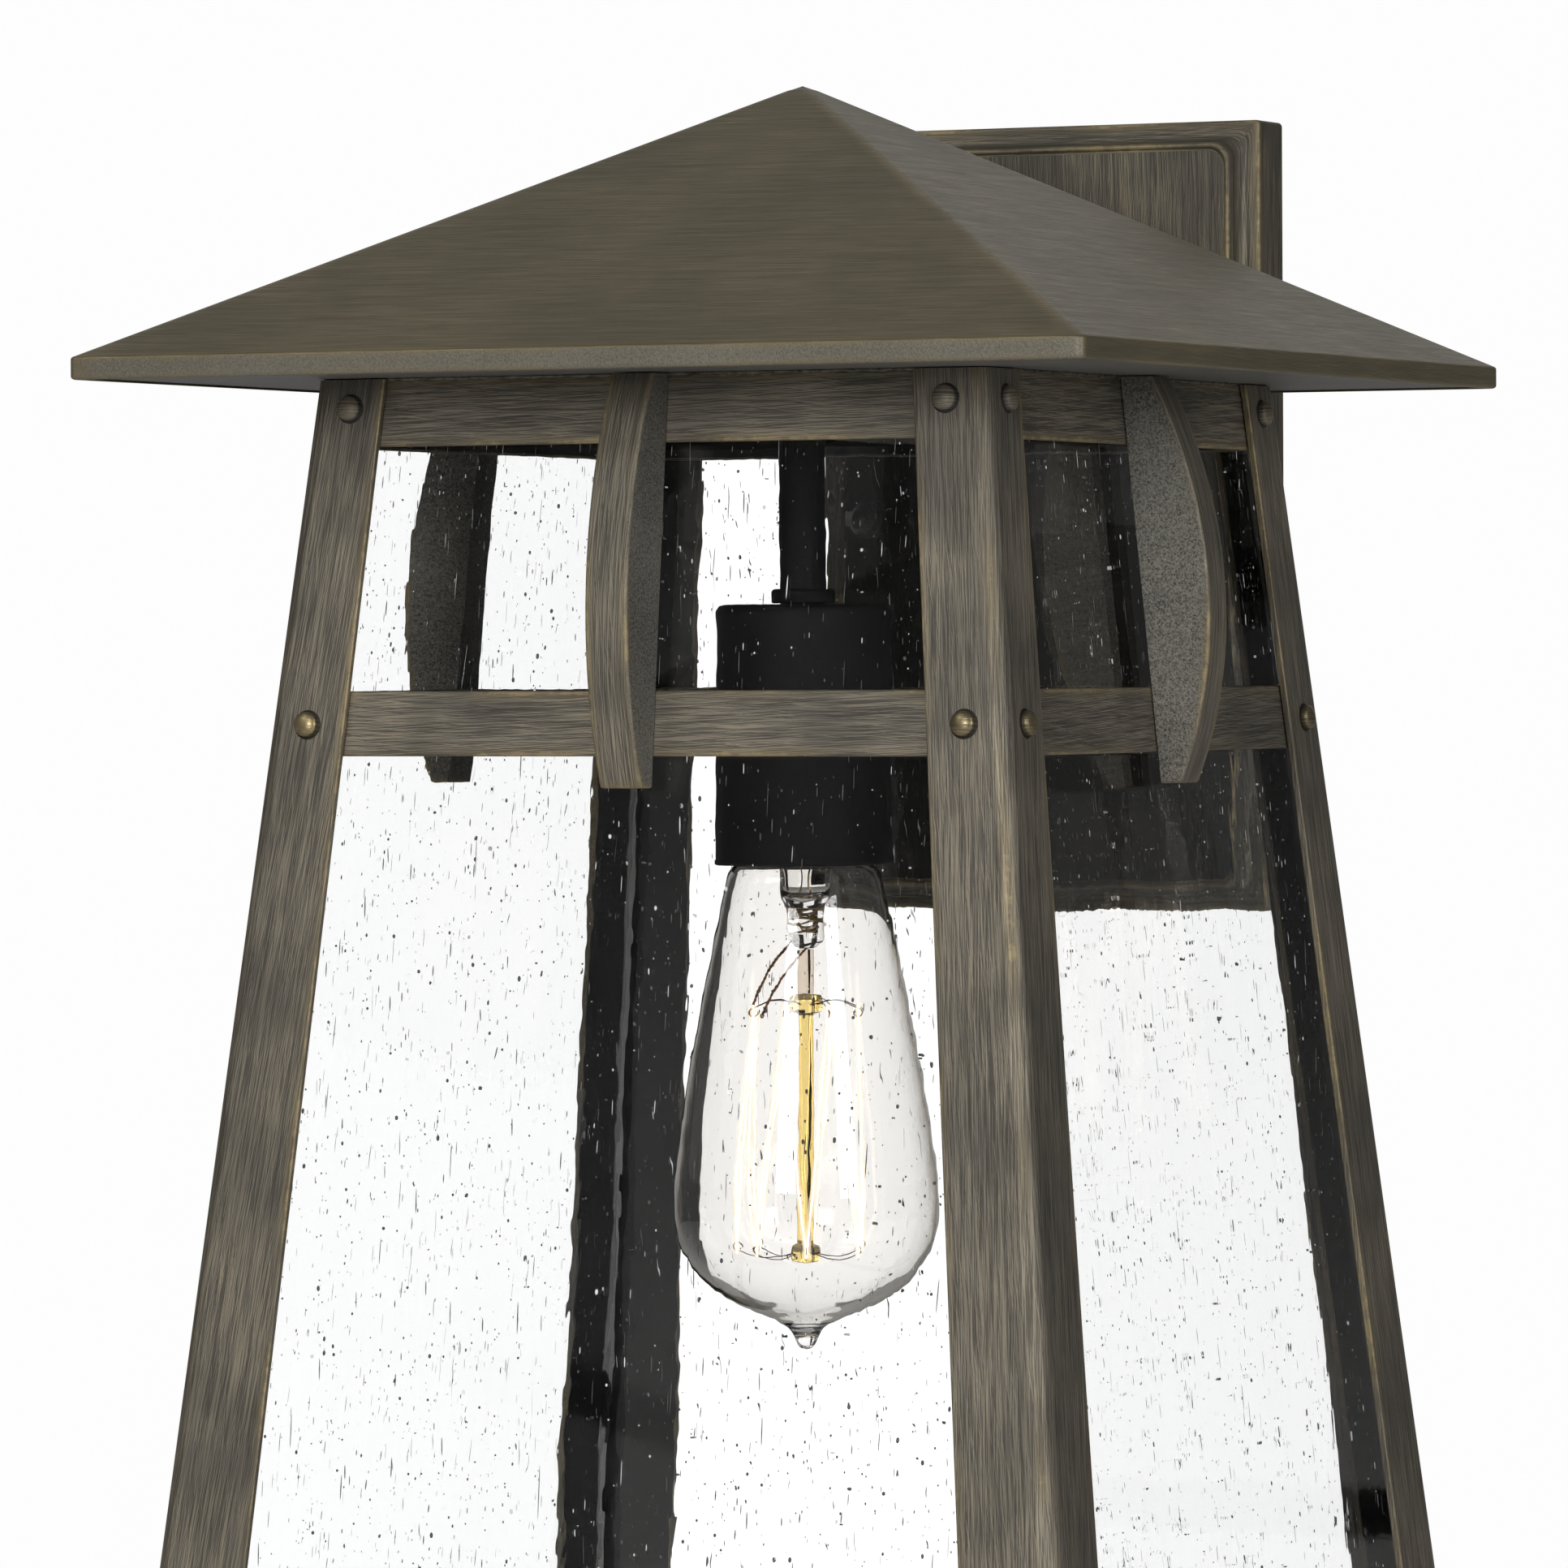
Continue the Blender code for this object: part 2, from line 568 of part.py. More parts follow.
def cut_arm_window(rail):
    """Opens the back top rail where the arm passes through it."""
    half = body_half(0.0)
    low = (-ARM_WIDTH / 2 - GAP, half - 3 * RAIL_THICKNESS, -ARM_DEPTH - ARM_HEIGHT / 2 - GAP)
    high = (ARM_WIDTH / 2 + GAP, half + RAIL_THICKNESS, -ARM_DEPTH + ARM_HEIGHT / 2 + 2 * RAIL_THICKNESS)
    cut(rail, add_cutter("arm_window", box_mesh("arm_window", low, high)))


def make_panes():
    """Four panes of seeded glass behind the rails, standing on a ledge."""
    bottom = BODY_HEIGHT - PANE_LIFT
    for side, turn in SIDES.items():
        between = side in ("left", "right")
        inset = CHAMBER_RECESS + GAP if between else PANE_RECESS
        top = BODY_TOP_DEPTH + GAP
        if side == "back":
            top = ARM_DEPTH + ARM_HEIGHT / 2 + GAP
        flared_plate("glass_" + side, turn, top, bottom, PANE_RECESS, GLASS_THICKNESS, inset, GLASS)

    top = bottom + GAP
    outer = body_half(top) - PANE_RECESS
    inner = outer - LEDGE_WIDTH
    rings = [
        roof_ring(inner, -top, RAIL_EDGE),
        roof_ring(outer, -top, RAIL_EDGE),
        roof_ring(outer, -top - LEDGE_THICKNESS, RAIL_EDGE),
        roof_ring(inner, -top - LEDGE_THICKNESS, RAIL_EDGE),
    ]
    closed_ring("glass_ledge", rings, BRONZE)


def closed_ring(name, rings, material, parent=AXIS):
    """A frame whose section is the polygon that the rings trace: the last ring joins the first."""
    bm = bmesh.new()
    loops = [[bm.verts.new(point) for point in ring] for ring in rings]
    for lower, upper in zip(loops, loops[1:] + loops[:1]):
        for i in range(len(lower)):
            j = (i + 1) % len(lower)
            bm.faces.new((lower[i], lower[j], upper[j], upper[i]))
    return finish_object(name, mesh_of(name, bm), material, parent=parent)


def make_brackets():
    """The bowed brackets in the middle of the front and the two sides."""
    top = BODY_TOP_DEPTH
    root_out = RAIL_RECESS - GAP
    top_stand, belly_stand, toe_stand = BRACKET_STANDS

    def placed(stand, depth):
        return (root_out - body_half(depth) - stand, -depth)

    front = arc_through(
        placed(top_stand, top),
        placed(belly_stand, BRACKET_BELLY_DEPTH),
        placed(toe_stand, BRACKET_HEIGHT),
        BRACKET_STEPS,
    )
    outline = [placed(0.0, top), *front, placed(0.0, BRACKET_HEIGHT)]
    for side, turn in SIDES.items():
        if side == "back":
            continue
        bm = bmesh.new()
        half = BRACKET_WIDTH / 2
        near = [(-half, y, z) for y, z in outline]
        far = [(half, y, z) for y, z in outline]
        prism(bm, near, far)
        obj = finish_object("bracket_" + side, mesh_of("bracket_" + side, bm), BRONZE, turn=turn)
        add_bevel(obj, BRACKET_EDGE, 1)


def make_rivets():
    """Domed rivets on the flanges that carry the front and right-hand rails."""
    places = {
        "front_left": (270.0, "side"),
        "front_right": (0.0, "front"),
        "right_front": (0.0, "side"),
        "right_back": (90.0, "front"),
    }
    lean = math.atan(BODY_FLARE)
    for tier, depth in RIVET_DEPTHS.items():
        for place, (turn, flange) in places.items():
            half = body_half(depth)
            outward = Vector((0.0, -math.cos(lean), math.sin(lean)))
            spot = Vector((half - RIVET_INSET, -half, -depth)) + outward * GAP
            tilt = Matrix.Rotation(math.pi / 2 - lean, 4, "X")
            if flange == "side":
                quarter = Matrix.Rotation(math.pi / 2, 4, "Z")
                spot = quarter @ Vector((RIVET_INSET - half, -half, -depth)) + quarter @ outward * GAP
                tilt = quarter @ tilt
            dome = [
                (0.0, RIVET_STAND),
                (RIVET_RADIUS * 0.45, RIVET_STAND * 0.93),
                (RIVET_RADIUS * 0.8, RIVET_STAND * 0.68),
                (RIVET_RADIUS, RIVET_STAND * 0.25),
                (RIVET_RADIUS, 0.0),
                (0.0, 0.0),
            ]
            obj = turned(f"rivet_{tier}_{place}", dome, BRONZE, FINE_TURN_STEPS)
            around = Matrix.Rotation(math.radians(turn), 4, "Z")
            obj.matrix_local = around @ Matrix.Translation(spot) @ tilt


# ---- wall plate, arm and fixings -----------------------------------------------------------------
def plate_ring(half_width, half_height, radius, out):
    return [(x, -out, z) for x, z in rounded_rectangle(half_width, half_height, radius)]


def make_wall_plate():
    """The pressed wall plate: a flat border, a cove up to a bead, and a sunk centre panel."""
    width = PLATE_WIDTH / 2
    height = PLATE_HEIGHT / 2
    rim = PLATE_RIM_DEPTH
    raised = rim + PLATE_RAISE
    cove_in = PLATE_BORDER + PLATE_COVE
    bead_in = cove_in + PLATE_BEAD
    panel_in = bead_in + PLATE_PANEL_SINK
    back = GASKET_THICKNESS + GAP
    wall = PLATE_WALL
    hollow = PANEL_FRONT - wall

    def outer(inset, out):
        corner = PLATE_CORNER + (PLATE_PANEL_CORNER - PLATE_CORNER) * min(inset / cove_in, 1.0)
        return plate_ring(width - inset, height - inset, corner, out)

    rings = [
        plate_ring(width - bead_in, height - bead_in, PLATE_PANEL_CORNER, hollow),
        plate_ring(width - bead_in, height - bead_in, PLATE_PANEL_CORNER, rim - wall),
        plate_ring(width - wall, height - wall, PLATE_CORNER, rim - wall),
        plate_ring(width - wall, height - wall, PLATE_CORNER, back),
        outer(0.0, back),
        outer(0.0, rim - PLATE_EDGE),
        outer(PLATE_EDGE * 0.3, rim - PLATE_EDGE * 0.3),
        outer(PLATE_EDGE, rim),
        outer(PLATE_BORDER, rim),
        outer(PLATE_BORDER + PLATE_COVE * 0.2, rim + PLATE_RAISE * 0.25),
        outer(PLATE_BORDER + PLATE_COVE * 0.6, rim + PLATE_RAISE * 0.6),
        outer(cove_in, raised - PLATE_BEAD * 0.25),
        outer(cove_in + PLATE_BEAD * 0.35, raised),
        outer(bead_in - PLATE_BEAD * 0.35, raised),
        outer(bead_in, raised - PLATE_BEAD * 0.2),
        outer(panel_in, PANEL_FRONT),
    ]
    plate = ring_stack("wall_plate", rings, BRONZE, parent=None)
    for sign, side in ((-1, "left"), (1, "right")):
        spot = sign * STUD_SPACING / 2
        ends = ((spot, -hollow + wall, 0.0), (spot, -raised, 0.0))
        hole = cylinder_mesh("stud_hole_" + side, STUD_RADIUS + HOLE_CLEARANCE, *ends)
        cut(plate, add_cutter("stud_hole_" + side, hole, parent=None))
    low = (-ARM_WIDTH / 2 - GAP, -raised, ARM_LEVEL - ARM_HEIGHT / 2 - GAP)
    high = (ARM_WIDTH / 2 + GAP, -hollow + wall, ARM_LEVEL + ARM_HEIGHT / 2 + GAP)
    cut(plate, add_cutter("arm_slot", box_mesh("arm_slot", low, high), parent=None))

    gasket_rings = [
        plate_ring(width - wall, height - wall, PLATE_CORNER, 0.0),
        plate_ring(width - wall, height - wall, PLATE_CORNER, GASKET_THICKNESS),
        plate_ring(width - GASKET_WIDTH, height - GASKET_WIDTH, PLATE_CORNER, GASKET_THICKNESS),
        plate_ring(width - GASKET_WIDTH, height - GASKET_WIDTH, PLATE_CORNER, 0.0),
    ]
    closed_ring("wall_gasket", gasket_rings, RUBBER, parent=None)


def make_arm():
    """The square tube that carries the body, with the flange that holds it behind the panel."""
    flange_front = PANEL_BACK - GAP
    flange_back = flange_front - ARM_FLANGE_THICKNESS
    inner_end = AXIS_TO_WALL - ARM_END
    half_width = ARM_WIDTH / 2
    half_height = ARM_HEIGHT / 2
    flange_width = ARM_FLANGE_WIDTH / 2
    flange_height = ARM_FLANGE_HEIGHT / 2
    bore_width = half_width - ARM_WALL
    bore_height = half_height - ARM_WALL
    corner = RAIL_EDGE

    def ring(width, height, out):
        return [(x, -out, z + ARM_LEVEL) for x, z in rounded_rectangle(width, height, corner)]

    rings = [
        ring(bore_width, bore_height, flange_back),
        ring(flange_width, flange_height, flange_back),
        ring(flange_width, flange_height, flange_front),
        ring(half_width, half_height, flange_front),
        ring(half_width, half_height, inner_end),
        ring(bore_width, bore_height, inner_end),
    ]
    closed_ring("wall_arm", rings, BRONZE, parent=None)


def make_wall_fixings():
    """The mounting bar on the wall box, its two studs with cap nuts, and the ground screw."""
    half = BAR_LENGTH / 2
    low = (-half, -BAR_THICKNESS, -BAR_WIDTH / 2)
    high = (half, 0.0, BAR_WIDTH / 2)
    bar = finish_object("mounting_bar", box_mesh("mounting_bar", low, high), STEEL, parent=None)
    add_bevel(bar, BAR_EDGE, 1)
    stud_start = BAR_THICKNESS + GAP
    stud_end = PANEL_FRONT + STUD_OUT
    for sign, side in ((-1, "left"), (1, "right")):
        spot = sign * STUD_SPACING / 2
        ends = ((spot, -stud_start, 0.0), (spot, -stud_end, 0.0))
        stud = cylinder_mesh("stud", STUD_RADIUS, *ends, FINE_TURN_STEPS)
        finish_object("mounting_stud_" + side, stud, STEEL, parent=None)
        bore = STUD_RADIUS + GAP
        bore_end = stud_end - PANEL_FRONT
        seat = CAP_NUT_RADIUS
        profile = [
            (0.0, CAP_NUT_LENGTH),
            (seat * 0.5, CAP_NUT_LENGTH * 0.93),
            (seat * 0.8, CAP_NUT_LENGTH * 0.75),
            (seat * 0.88, CAP_NUT_LENGTH * 0.5),
            (seat, CAP_NUT_LENGTH * 0.4),
            (seat, 0.0),
            (bore, 0.0),
            (bore, bore_end),
            (0.0, bore_end),
        ]
        turned(
            "cap_nut_" + side,
            profile,
            BRONZE,
            FINE_TURN_STEPS,
            at=(spot, -PANEL_FRONT - GAP, 0.0),
            tilt=(math.pi / 2, 0.0, 0.0),
            parent=None,
        )
    head = [
        (0.0, GROUND_SCREW_HEIGHT),
        (GROUND_SCREW_RADIUS * 0.7, GROUND_SCREW_HEIGHT * 0.88),
        (GROUND_SCREW_RADIUS, GROUND_SCREW_HEIGHT * 0.45),
        (GROUND_SCREW_RADIUS, 0.0),
        (0.0, 0.0),
    ]
    turned(
        "ground_screw",
        head,
        BRASS,
        FINE_TURN_STEPS,
        at=(GROUND_SCREW_OFFSET, -BAR_THICKNESS - GAP, 0.0),
        tilt=(math.pi / 2, 0.0, 0.0),
        parent=None,
    )


# ---- stem and lampholder -------------------------------------------------------------------------
def tube_profile(radius, bore, top, bottom):
    """A tube's section: outer side down, then the bore."""
    return [(bore, top), (radius, top), (radius, bottom), (bore, bottom)]


def hex_nut(name, top, bottom):
    """A hexagon nut on the stem, with a round hole."""
    mesh = cylinder_mesh(name, STEM_NUT_RADIUS, (0, 0, bottom), (0, 0, top), 6)
    nut = finish_object(name, mesh, STEEL)
    ends = ((0, 0, bottom - GAP), (0, 0, top + GAP))
    bore = cylinder_mesh(name + "_bore", STEM_RADIUS + GAP, *ends, TURN_STEPS)
    cut(nut, add_cutter(name + "_bore", bore))


def make_stem():
    """The threaded stem with its nut above the soffit, its collar, and its nut inside the cup."""
    stem_top = SOFFIT_TOP + STEM_TOP_STAND
    turned("stem_tube", tube_profile(STEM_RADIUS, STEM_BORE, stem_top, -STEM_END_DEPTH), BLACK)
    hole = STEM_RADIUS + GAP
    nut_low = SOFFIT_TOP + GAP
    hex_nut("stem_nut", nut_low + STEM_NUT_HEIGHT, nut_low)
    collar_low = -CUP_TOP_DEPTH + GAP
    collar_top = collar_low + COLLAR_HEIGHT
    profile = [
        (hole, collar_top),
        (COLLAR_RADIUS - COLLAR_EDGE, collar_top),
        (COLLAR_RADIUS, collar_top - COLLAR_EDGE),
        (COLLAR_RADIUS, collar_low),
        (hole, collar_low),
    ]
    turned("stem_collar", profile, BLACK)
    nut_top = -CUP_TOP_DEPTH - CUP_WALL - GAP
    hex_nut("cup_nut", nut_top, nut_top - CUP_NUT_HEIGHT)


def make_lampholder():
    """The black cup over a porcelain body with a threaded brass shell and a centre contact."""
    top = -CUP_TOP_DEPTH
    low = top - CUP_HEIGHT
    hole = STEM_RADIUS + GAP
    radius = CUP_RADIUS
    wall = CUP_WALL
    round_off = CUP_SHOULDER
    shoulder = [
        (radius - round_off + round_off * math.sin(a), top - round_off + round_off * math.cos(a))
        for a in (0.0, math.pi / 6, math.pi / 3, math.pi / 2)
    ]
    profile = [
        (hole, top),
        *shoulder,
        (radius, low + 2 * CUP_LIP),
        (radius + CUP_LIP * 0.6, low + CUP_LIP),
        (radius, low),
        (radius - wall, low),
        (radius - wall, top - wall),
        (hole, top - wall),
    ]
    turned("socket_cup", profile, BLACK)

    top = -HOLDER_TOP_DEPTH
    low = top - HOLDER_HEIGHT
    bore = THREAD_SHELL_BORE + THREAD_SHELL_WALL + GAP
    pin_hole = CONTACT_PIN_RADIUS + GAP
    crown = top - HOLDER_CROWN
    profile = [
        (pin_hole, top),
        (HOLDER_RADIUS - HOLDER_CHAMFER, top),
        (HOLDER_RADIUS, top - HOLDER_CHAMFER),
        (HOLDER_RADIUS, low),
        (bore, low),
        (bore, crown),
        (pin_hole, crown),
    ]
    turned("socket_body", profile, PORCELAIN)

    outer = THREAD_SHELL_BORE + THREAD_SHELL_WALL
    shell_top = -SHELL_TOP_DEPTH
    profile = [
        (CONTACT_RADIUS + 2 * GAP, shell_top),
        (outer, shell_top),
        (outer, low),
        (THREAD_SHELL_BORE, low),
        (THREAD_SHELL_BORE, shell_top - THREAD_SHELL_WALL),
        (CONTACT_RADIUS + 2 * GAP, shell_top - THREAD_SHELL_WALL),
    ]
    turned("socket_thread_shell", profile, BRASS)

    face = -CONTACT_FACE_DEPTH
    profile = [
        (0.0, top - GAP),
        (CONTACT_PIN_RADIUS, top - GAP),
        (CONTACT_PIN_RADIUS, face + CONTACT_HEAD),
        (CONTACT_RADIUS, face + CONTACT_HEAD * 0.8),
        (CONTACT_RADIUS, face),
        (0.0, face),
    ]
    turned("socket_contact", profile, BRASS, FINE_TURN_STEPS)


# ---- bulb ----------------------------------------------------------------------------------------
def bulb_outline():
    """Radius and depth of the teardrop envelope, from its neck to its sealed tip."""
    span = BULB_TIP_DEPTH - BULB_WIDEST_DEPTH
    drop = BULB_WIDEST_DEPTH - BULB_NECK_DEPTH
    points = [
        (BULB_NECK_RADIUS, BULB_NECK_DEPTH),
        (BULB_NECK_RADIUS * 1.02, BULB_NECK_DEPTH + 0.06 * drop),
        (BULB_RADIUS * 0.575, BULB_NECK_DEPTH + 0.185 * drop),
        (BULB_RADIUS * 0.690, BULB_NECK_DEPTH + 0.350 * drop),
        (BULB_RADIUS * 0.812, BULB_NECK_DEPTH + 0.560 * drop),
        (BULB_RADIUS * 0.937, BULB_NECK_DEPTH + 0.800 * drop),
        (BULB_RADIUS, BULB_WIDEST_DEPTH),
        (BULB_RADIUS * 0.955, BULB_WIDEST_DEPTH + 0.27 * span),
        (BULB_RADIUS * 0.800, BULB_WIDEST_DEPTH + 0.46 * span),
        (BULB_RADIUS * 0.520, BULB_WIDEST_DEPTH + 0.67 * span),
        (BULB_RADIUS * 0.210, BULB_WIDEST_DEPTH + 0.79 * span),
        (BULB_RADIUS * 0.080, BULB_WIDEST_DEPTH + 0.88 * span),
        (BULB_RADIUS * 0.045, BULB_TIP_DEPTH - 0.04 * span),
    ]
    return smooth_line(points, 2)


def make_bulb():
    """The lamp: contact, insulator, threaded base, teardrop glass, glass stem and filament cage."""
    low = -BULB_CONTACT_DEPTH - BULB_CONTACT_HEIGHT
    profile = [
        (0.0, -BULB_CONTACT_DEPTH),
        (BULB_CONTACT_RADIUS * 0.8, -BULB_CONTACT_DEPTH - BULB_CONTACT_CROWN),
        (BULB_CONTACT_RADIUS, low),
        (0.0, low),
    ]
    turned("bulb_contact", profile, NICKEL, FINE_TURN_STEPS)

    top = low - GAP
    foot = top - BULB_INSULATOR_HEIGHT
    profile = [(0.0, top), (BULB_CONTACT_RADIUS * 1.2, top), (BULB_BASE_RADIUS * 0.72, foot), (0.0, foot)]
    turned("bulb_insulator", profile, BLACK, SMALL_TURN_STEPS)

    top = -BULB_BASE_DEPTH
    foot = top - BULB_BASE_HEIGHT
    neck = BULB_BASE_RADIUS * 0.7
    wall = BULB_BASE_WALL
    profile = [
        (neck, top),
        (BULB_BASE_RADIUS * 0.96, top - BULB_BASE_SHOULDER),
        (BULB_BASE_RADIUS, top - 2 * BULB_BASE_SHOULDER),
        (BULB_BASE_RADIUS, foot),
        (BULB_BASE_RADIUS - wall, foot),
        (BULB_BASE_RADIUS - wall, top - 2 * BULB_BASE_SHOULDER - wall),
        (neck, top - BULB_BASE_SHOULDER),
    ]
    turned("bulb_base", profile, NICKEL, TURN_STEPS)

    outer = bulb_outline()
    inner = [(radius - BULB_GLASS_WALL, depth) for radius, depth in outer if radius > 2 * BULB_GLASS_WALL]
    inner_tip = inner[-1][1]
    outer_side = [(radius, -depth) for radius, depth in outer]
    inner_side = [(radius, -depth) for radius, depth in reversed(inner)]
    profile = [*outer_side, (0.0, -BULB_TIP_DEPTH), (0.0, -inner_tip - BULB_GLASS_WALL), *inner_side]
    turned("bulb_glass", profile, BULB_GLASS)

    stem_top = BULB_NECK_DEPTH + STEM_START
    hubs = []
    for depth in HUB_DEPTHS:
        hubs.append((ROD_RADIUS, depth - HUB_HEIGHT / 2))
        hubs.append((HUB_RADIUS, depth - HUB_HEIGHT / 4))
        hubs.append((HUB_RADIUS, depth + HUB_HEIGHT / 4))
        hubs.append((ROD_RADIUS, depth + HUB_HEIGHT / 2))
    flare = BULB_NECK_RADIUS - BULB_GLASS_WALL - GAP
    points = [
        (0.0, stem_top),
        (flare, stem_top),
        (PRESS_RADIUS * 1.2, stem_top + STEM_FLARE_DROP),
        (PRESS_RADIUS, stem_top + 2 * STEM_FLARE_DROP),
        (PRESS_RADIUS, PRESS_END_DEPTH - PRESS_TAPER),
        (PRESS_RADIUS * 0.7, PRESS_END_DEPTH),
        (PRESS_RADIUS * 0.6, PRESS_END_DEPTH + PRESS_BUTTON * 0.9),
        (ROD_RADIUS, PRESS_END_DEPTH + PRESS_BUTTON),
        *hubs,
        (ROD_RADIUS * 0.8, ROD_END_DEPTH + ROD_TIP * 0.7),
        (0.0, ROD_END_DEPTH + ROD_TIP),
    ]
    turned("bulb_stem", [(radius, -depth) for radius, depth in points], BULB_GLASS, SMALL_TURN_STEPS)

    upper, lower = HUB_DEPTHS
    route = []
    for strand in range(FILAMENT_STRANDS):
        angle = 2 * math.pi * (strand + 0.5) / (FILAMENT_STRANDS + 1)
        ends = [(FILAMENT_RADII[0], upper), (FILAMENT_RADII[1], lower)]
        if strand % 2:
            ends.reverse()
        for radius, depth in ends:
            route.append((radius * math.cos(angle), radius * math.sin(angle), -depth))
    for ring_end, slot in ((route[0], 0), (route[-1], len(route) + 1)):
        away = Vector((ring_end[0], ring_end[1], 0.0)).normalized() * (ROD_RADIUS + GAP + FILAMENT_WIRE)
        route.insert(slot, (away.x, away.y, -upper + HUB_HEIGHT))
    wire("bulb_filament", route, FILAMENT_WIRE, FILAMENT)


# ---- wiring --------------------------------------------------------------------------------------
def make_wires():
    """Two lamp leads from the lampholder up the stem, over the soffit and out along the arm."""
    start = -HOLDER_TOP_DEPTH + GAP
    crest = SOFFIT_TOP + STEM_TOP_STAND + WIRE_CREST
    rise_at = AXIS_TO_WALL - WIRE_FROM_WALL
    arm = -ARM_DEPTH
    wall = AXIS_TO_WALL
    for name, sign, material in (("lead_black", -1, BLACK_LEAD), ("lead_white", 1, WHITE_LEAD)):
        x = sign * WIRE_SPREAD
        back = WIRE_HOLE_BACK
        points = [
            (x, 0.0, start),
            (x, 0.0, start / 2),
            (x, 0.0, SOFFIT_TOP),
            (x, back * 0.12, crest - WIRE_CREST * 0.6),
            (x, back * 0.5, crest),
            (x, back * 0.9, crest - WIRE_CREST * 0.8),
            (x, back, SOFFIT_TOP),
            (x, back, arm + ARM_HEIGHT * 0.35),
            (x, back + WIRE_BEND * 0.4, arm),
            (x, ARM_END + WIRE_BEND, arm),
            (x, wall * 0.6, arm),
            (x, wall - PANEL_BACK, arm),
            (x * 2, rise_at - WIRE_RADIUS * 2, arm - WIRE_RADIUS),
            (x * 7, rise_at, arm + WIRE_RISE * 0.2),
            (x * 12, rise_at, arm + WIRE_RISE * 0.5),
            (x * 12, rise_at, arm + WIRE_RISE),
        ]
        wire(name, smooth_line(points, 3), WIRE_RADIUS, material)
    radius = GROUND_WIRE_RADIUS
    screw_front = BAR_THICKNESS + GROUND_SCREW_HEIGHT + 2 * GAP + radius
    points = [(GROUND_SCREW_OFFSET, -screw_front, 0.0)]
    for across, out, up in GROUND_WIRE_ROUTE:
        points.append((GROUND_SCREW_OFFSET + across * MM, -screw_front - out * MM, up * MM))
    wire("lead_ground", smooth_line(points, 4), radius, COPPER, parent=None)


make_roof()
make_legs()
make_rails()
make_panes()
make_brackets()
make_rivets()
make_wall_plate()
make_arm()
make_wall_fixings()
make_stem()
make_lampholder()
make_bulb()
make_wires()
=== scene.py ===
"""The look of an outdoor wall lantern: burnished bronze members, seeded glass and a filament lamp.

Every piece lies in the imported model's frame: +Z up, the wall in the plane Y = 0 and the front facing
-Y. Heights on the body are depths below the eave, the lower edge of the fascia, and each side of the
body moves out steadily with that depth. Lengths are in metres.
"""

from __future__ import annotations

import logging
import math
from dataclasses import dataclass, field
from enum import Enum
from typing import Any

import bmesh
import bpy
import numpy as np
from mathutils import Matrix, Vector

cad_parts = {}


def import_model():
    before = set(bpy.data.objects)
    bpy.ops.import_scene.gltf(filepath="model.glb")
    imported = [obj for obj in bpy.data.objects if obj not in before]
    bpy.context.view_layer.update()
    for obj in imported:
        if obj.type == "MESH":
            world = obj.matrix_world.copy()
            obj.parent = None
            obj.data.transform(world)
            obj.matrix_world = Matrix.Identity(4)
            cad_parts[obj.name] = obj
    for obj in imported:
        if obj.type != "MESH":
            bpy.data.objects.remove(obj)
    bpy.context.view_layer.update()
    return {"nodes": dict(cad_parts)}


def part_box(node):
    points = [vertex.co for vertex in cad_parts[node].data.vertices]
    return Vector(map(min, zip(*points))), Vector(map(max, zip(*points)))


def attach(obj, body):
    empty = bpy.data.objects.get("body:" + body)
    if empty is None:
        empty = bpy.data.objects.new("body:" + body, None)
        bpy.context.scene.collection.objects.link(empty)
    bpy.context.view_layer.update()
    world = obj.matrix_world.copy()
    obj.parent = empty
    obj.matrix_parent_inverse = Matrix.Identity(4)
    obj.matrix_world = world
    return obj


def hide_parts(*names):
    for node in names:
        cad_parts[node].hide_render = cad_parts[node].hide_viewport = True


frame: dict[str, Any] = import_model()

log = logging.getLogger("wall_lantern")
Array = np.ndarray
Material = bpy.types.Material
NodeTree = bpy.types.NodeTree
Triple = tuple[float, float, float]
MM = 0.001
TINY = 1e-5
FAR = 1.0  # an edge distance that no wear reaches
WIDE_CORNER = 1.5 * MM  # a corner with a larger radius is a wide one
WEAR_LINE = 0.3  # where along a wide corner's arc its rubbed line lies
SMALL_WEAR = 0.35 * MM  # a small corner counts as this far from its worn line, so it is rubbed less
# painted shade: the black given to faces inside the body and behind it, which lie in shade
PAINTED_SHADE_BLACK = (0.010, 0.010, 0.010)
DOWN = np.array([1, -1])  # turns a profile given as (radius, depth) into (radius, height)
STROKES = "strokes"
MARKS = "marks"


class Body(Enum):
    """The moving bodies that pieces ride on."""

    LANTERN = "lantern"
    BULB = "bulb"


class Side(Enum):
    """The four sides of the body and how far each is turned from the front, in degrees."""

    FRONT = 0.0
    RIGHT = 90.0
    BACK = 180.0
    LEFT = 270.0

    @property
    def label(self) -> str:
        """The side's name as the frame's nodes spell it."""
        return self.name.lower()


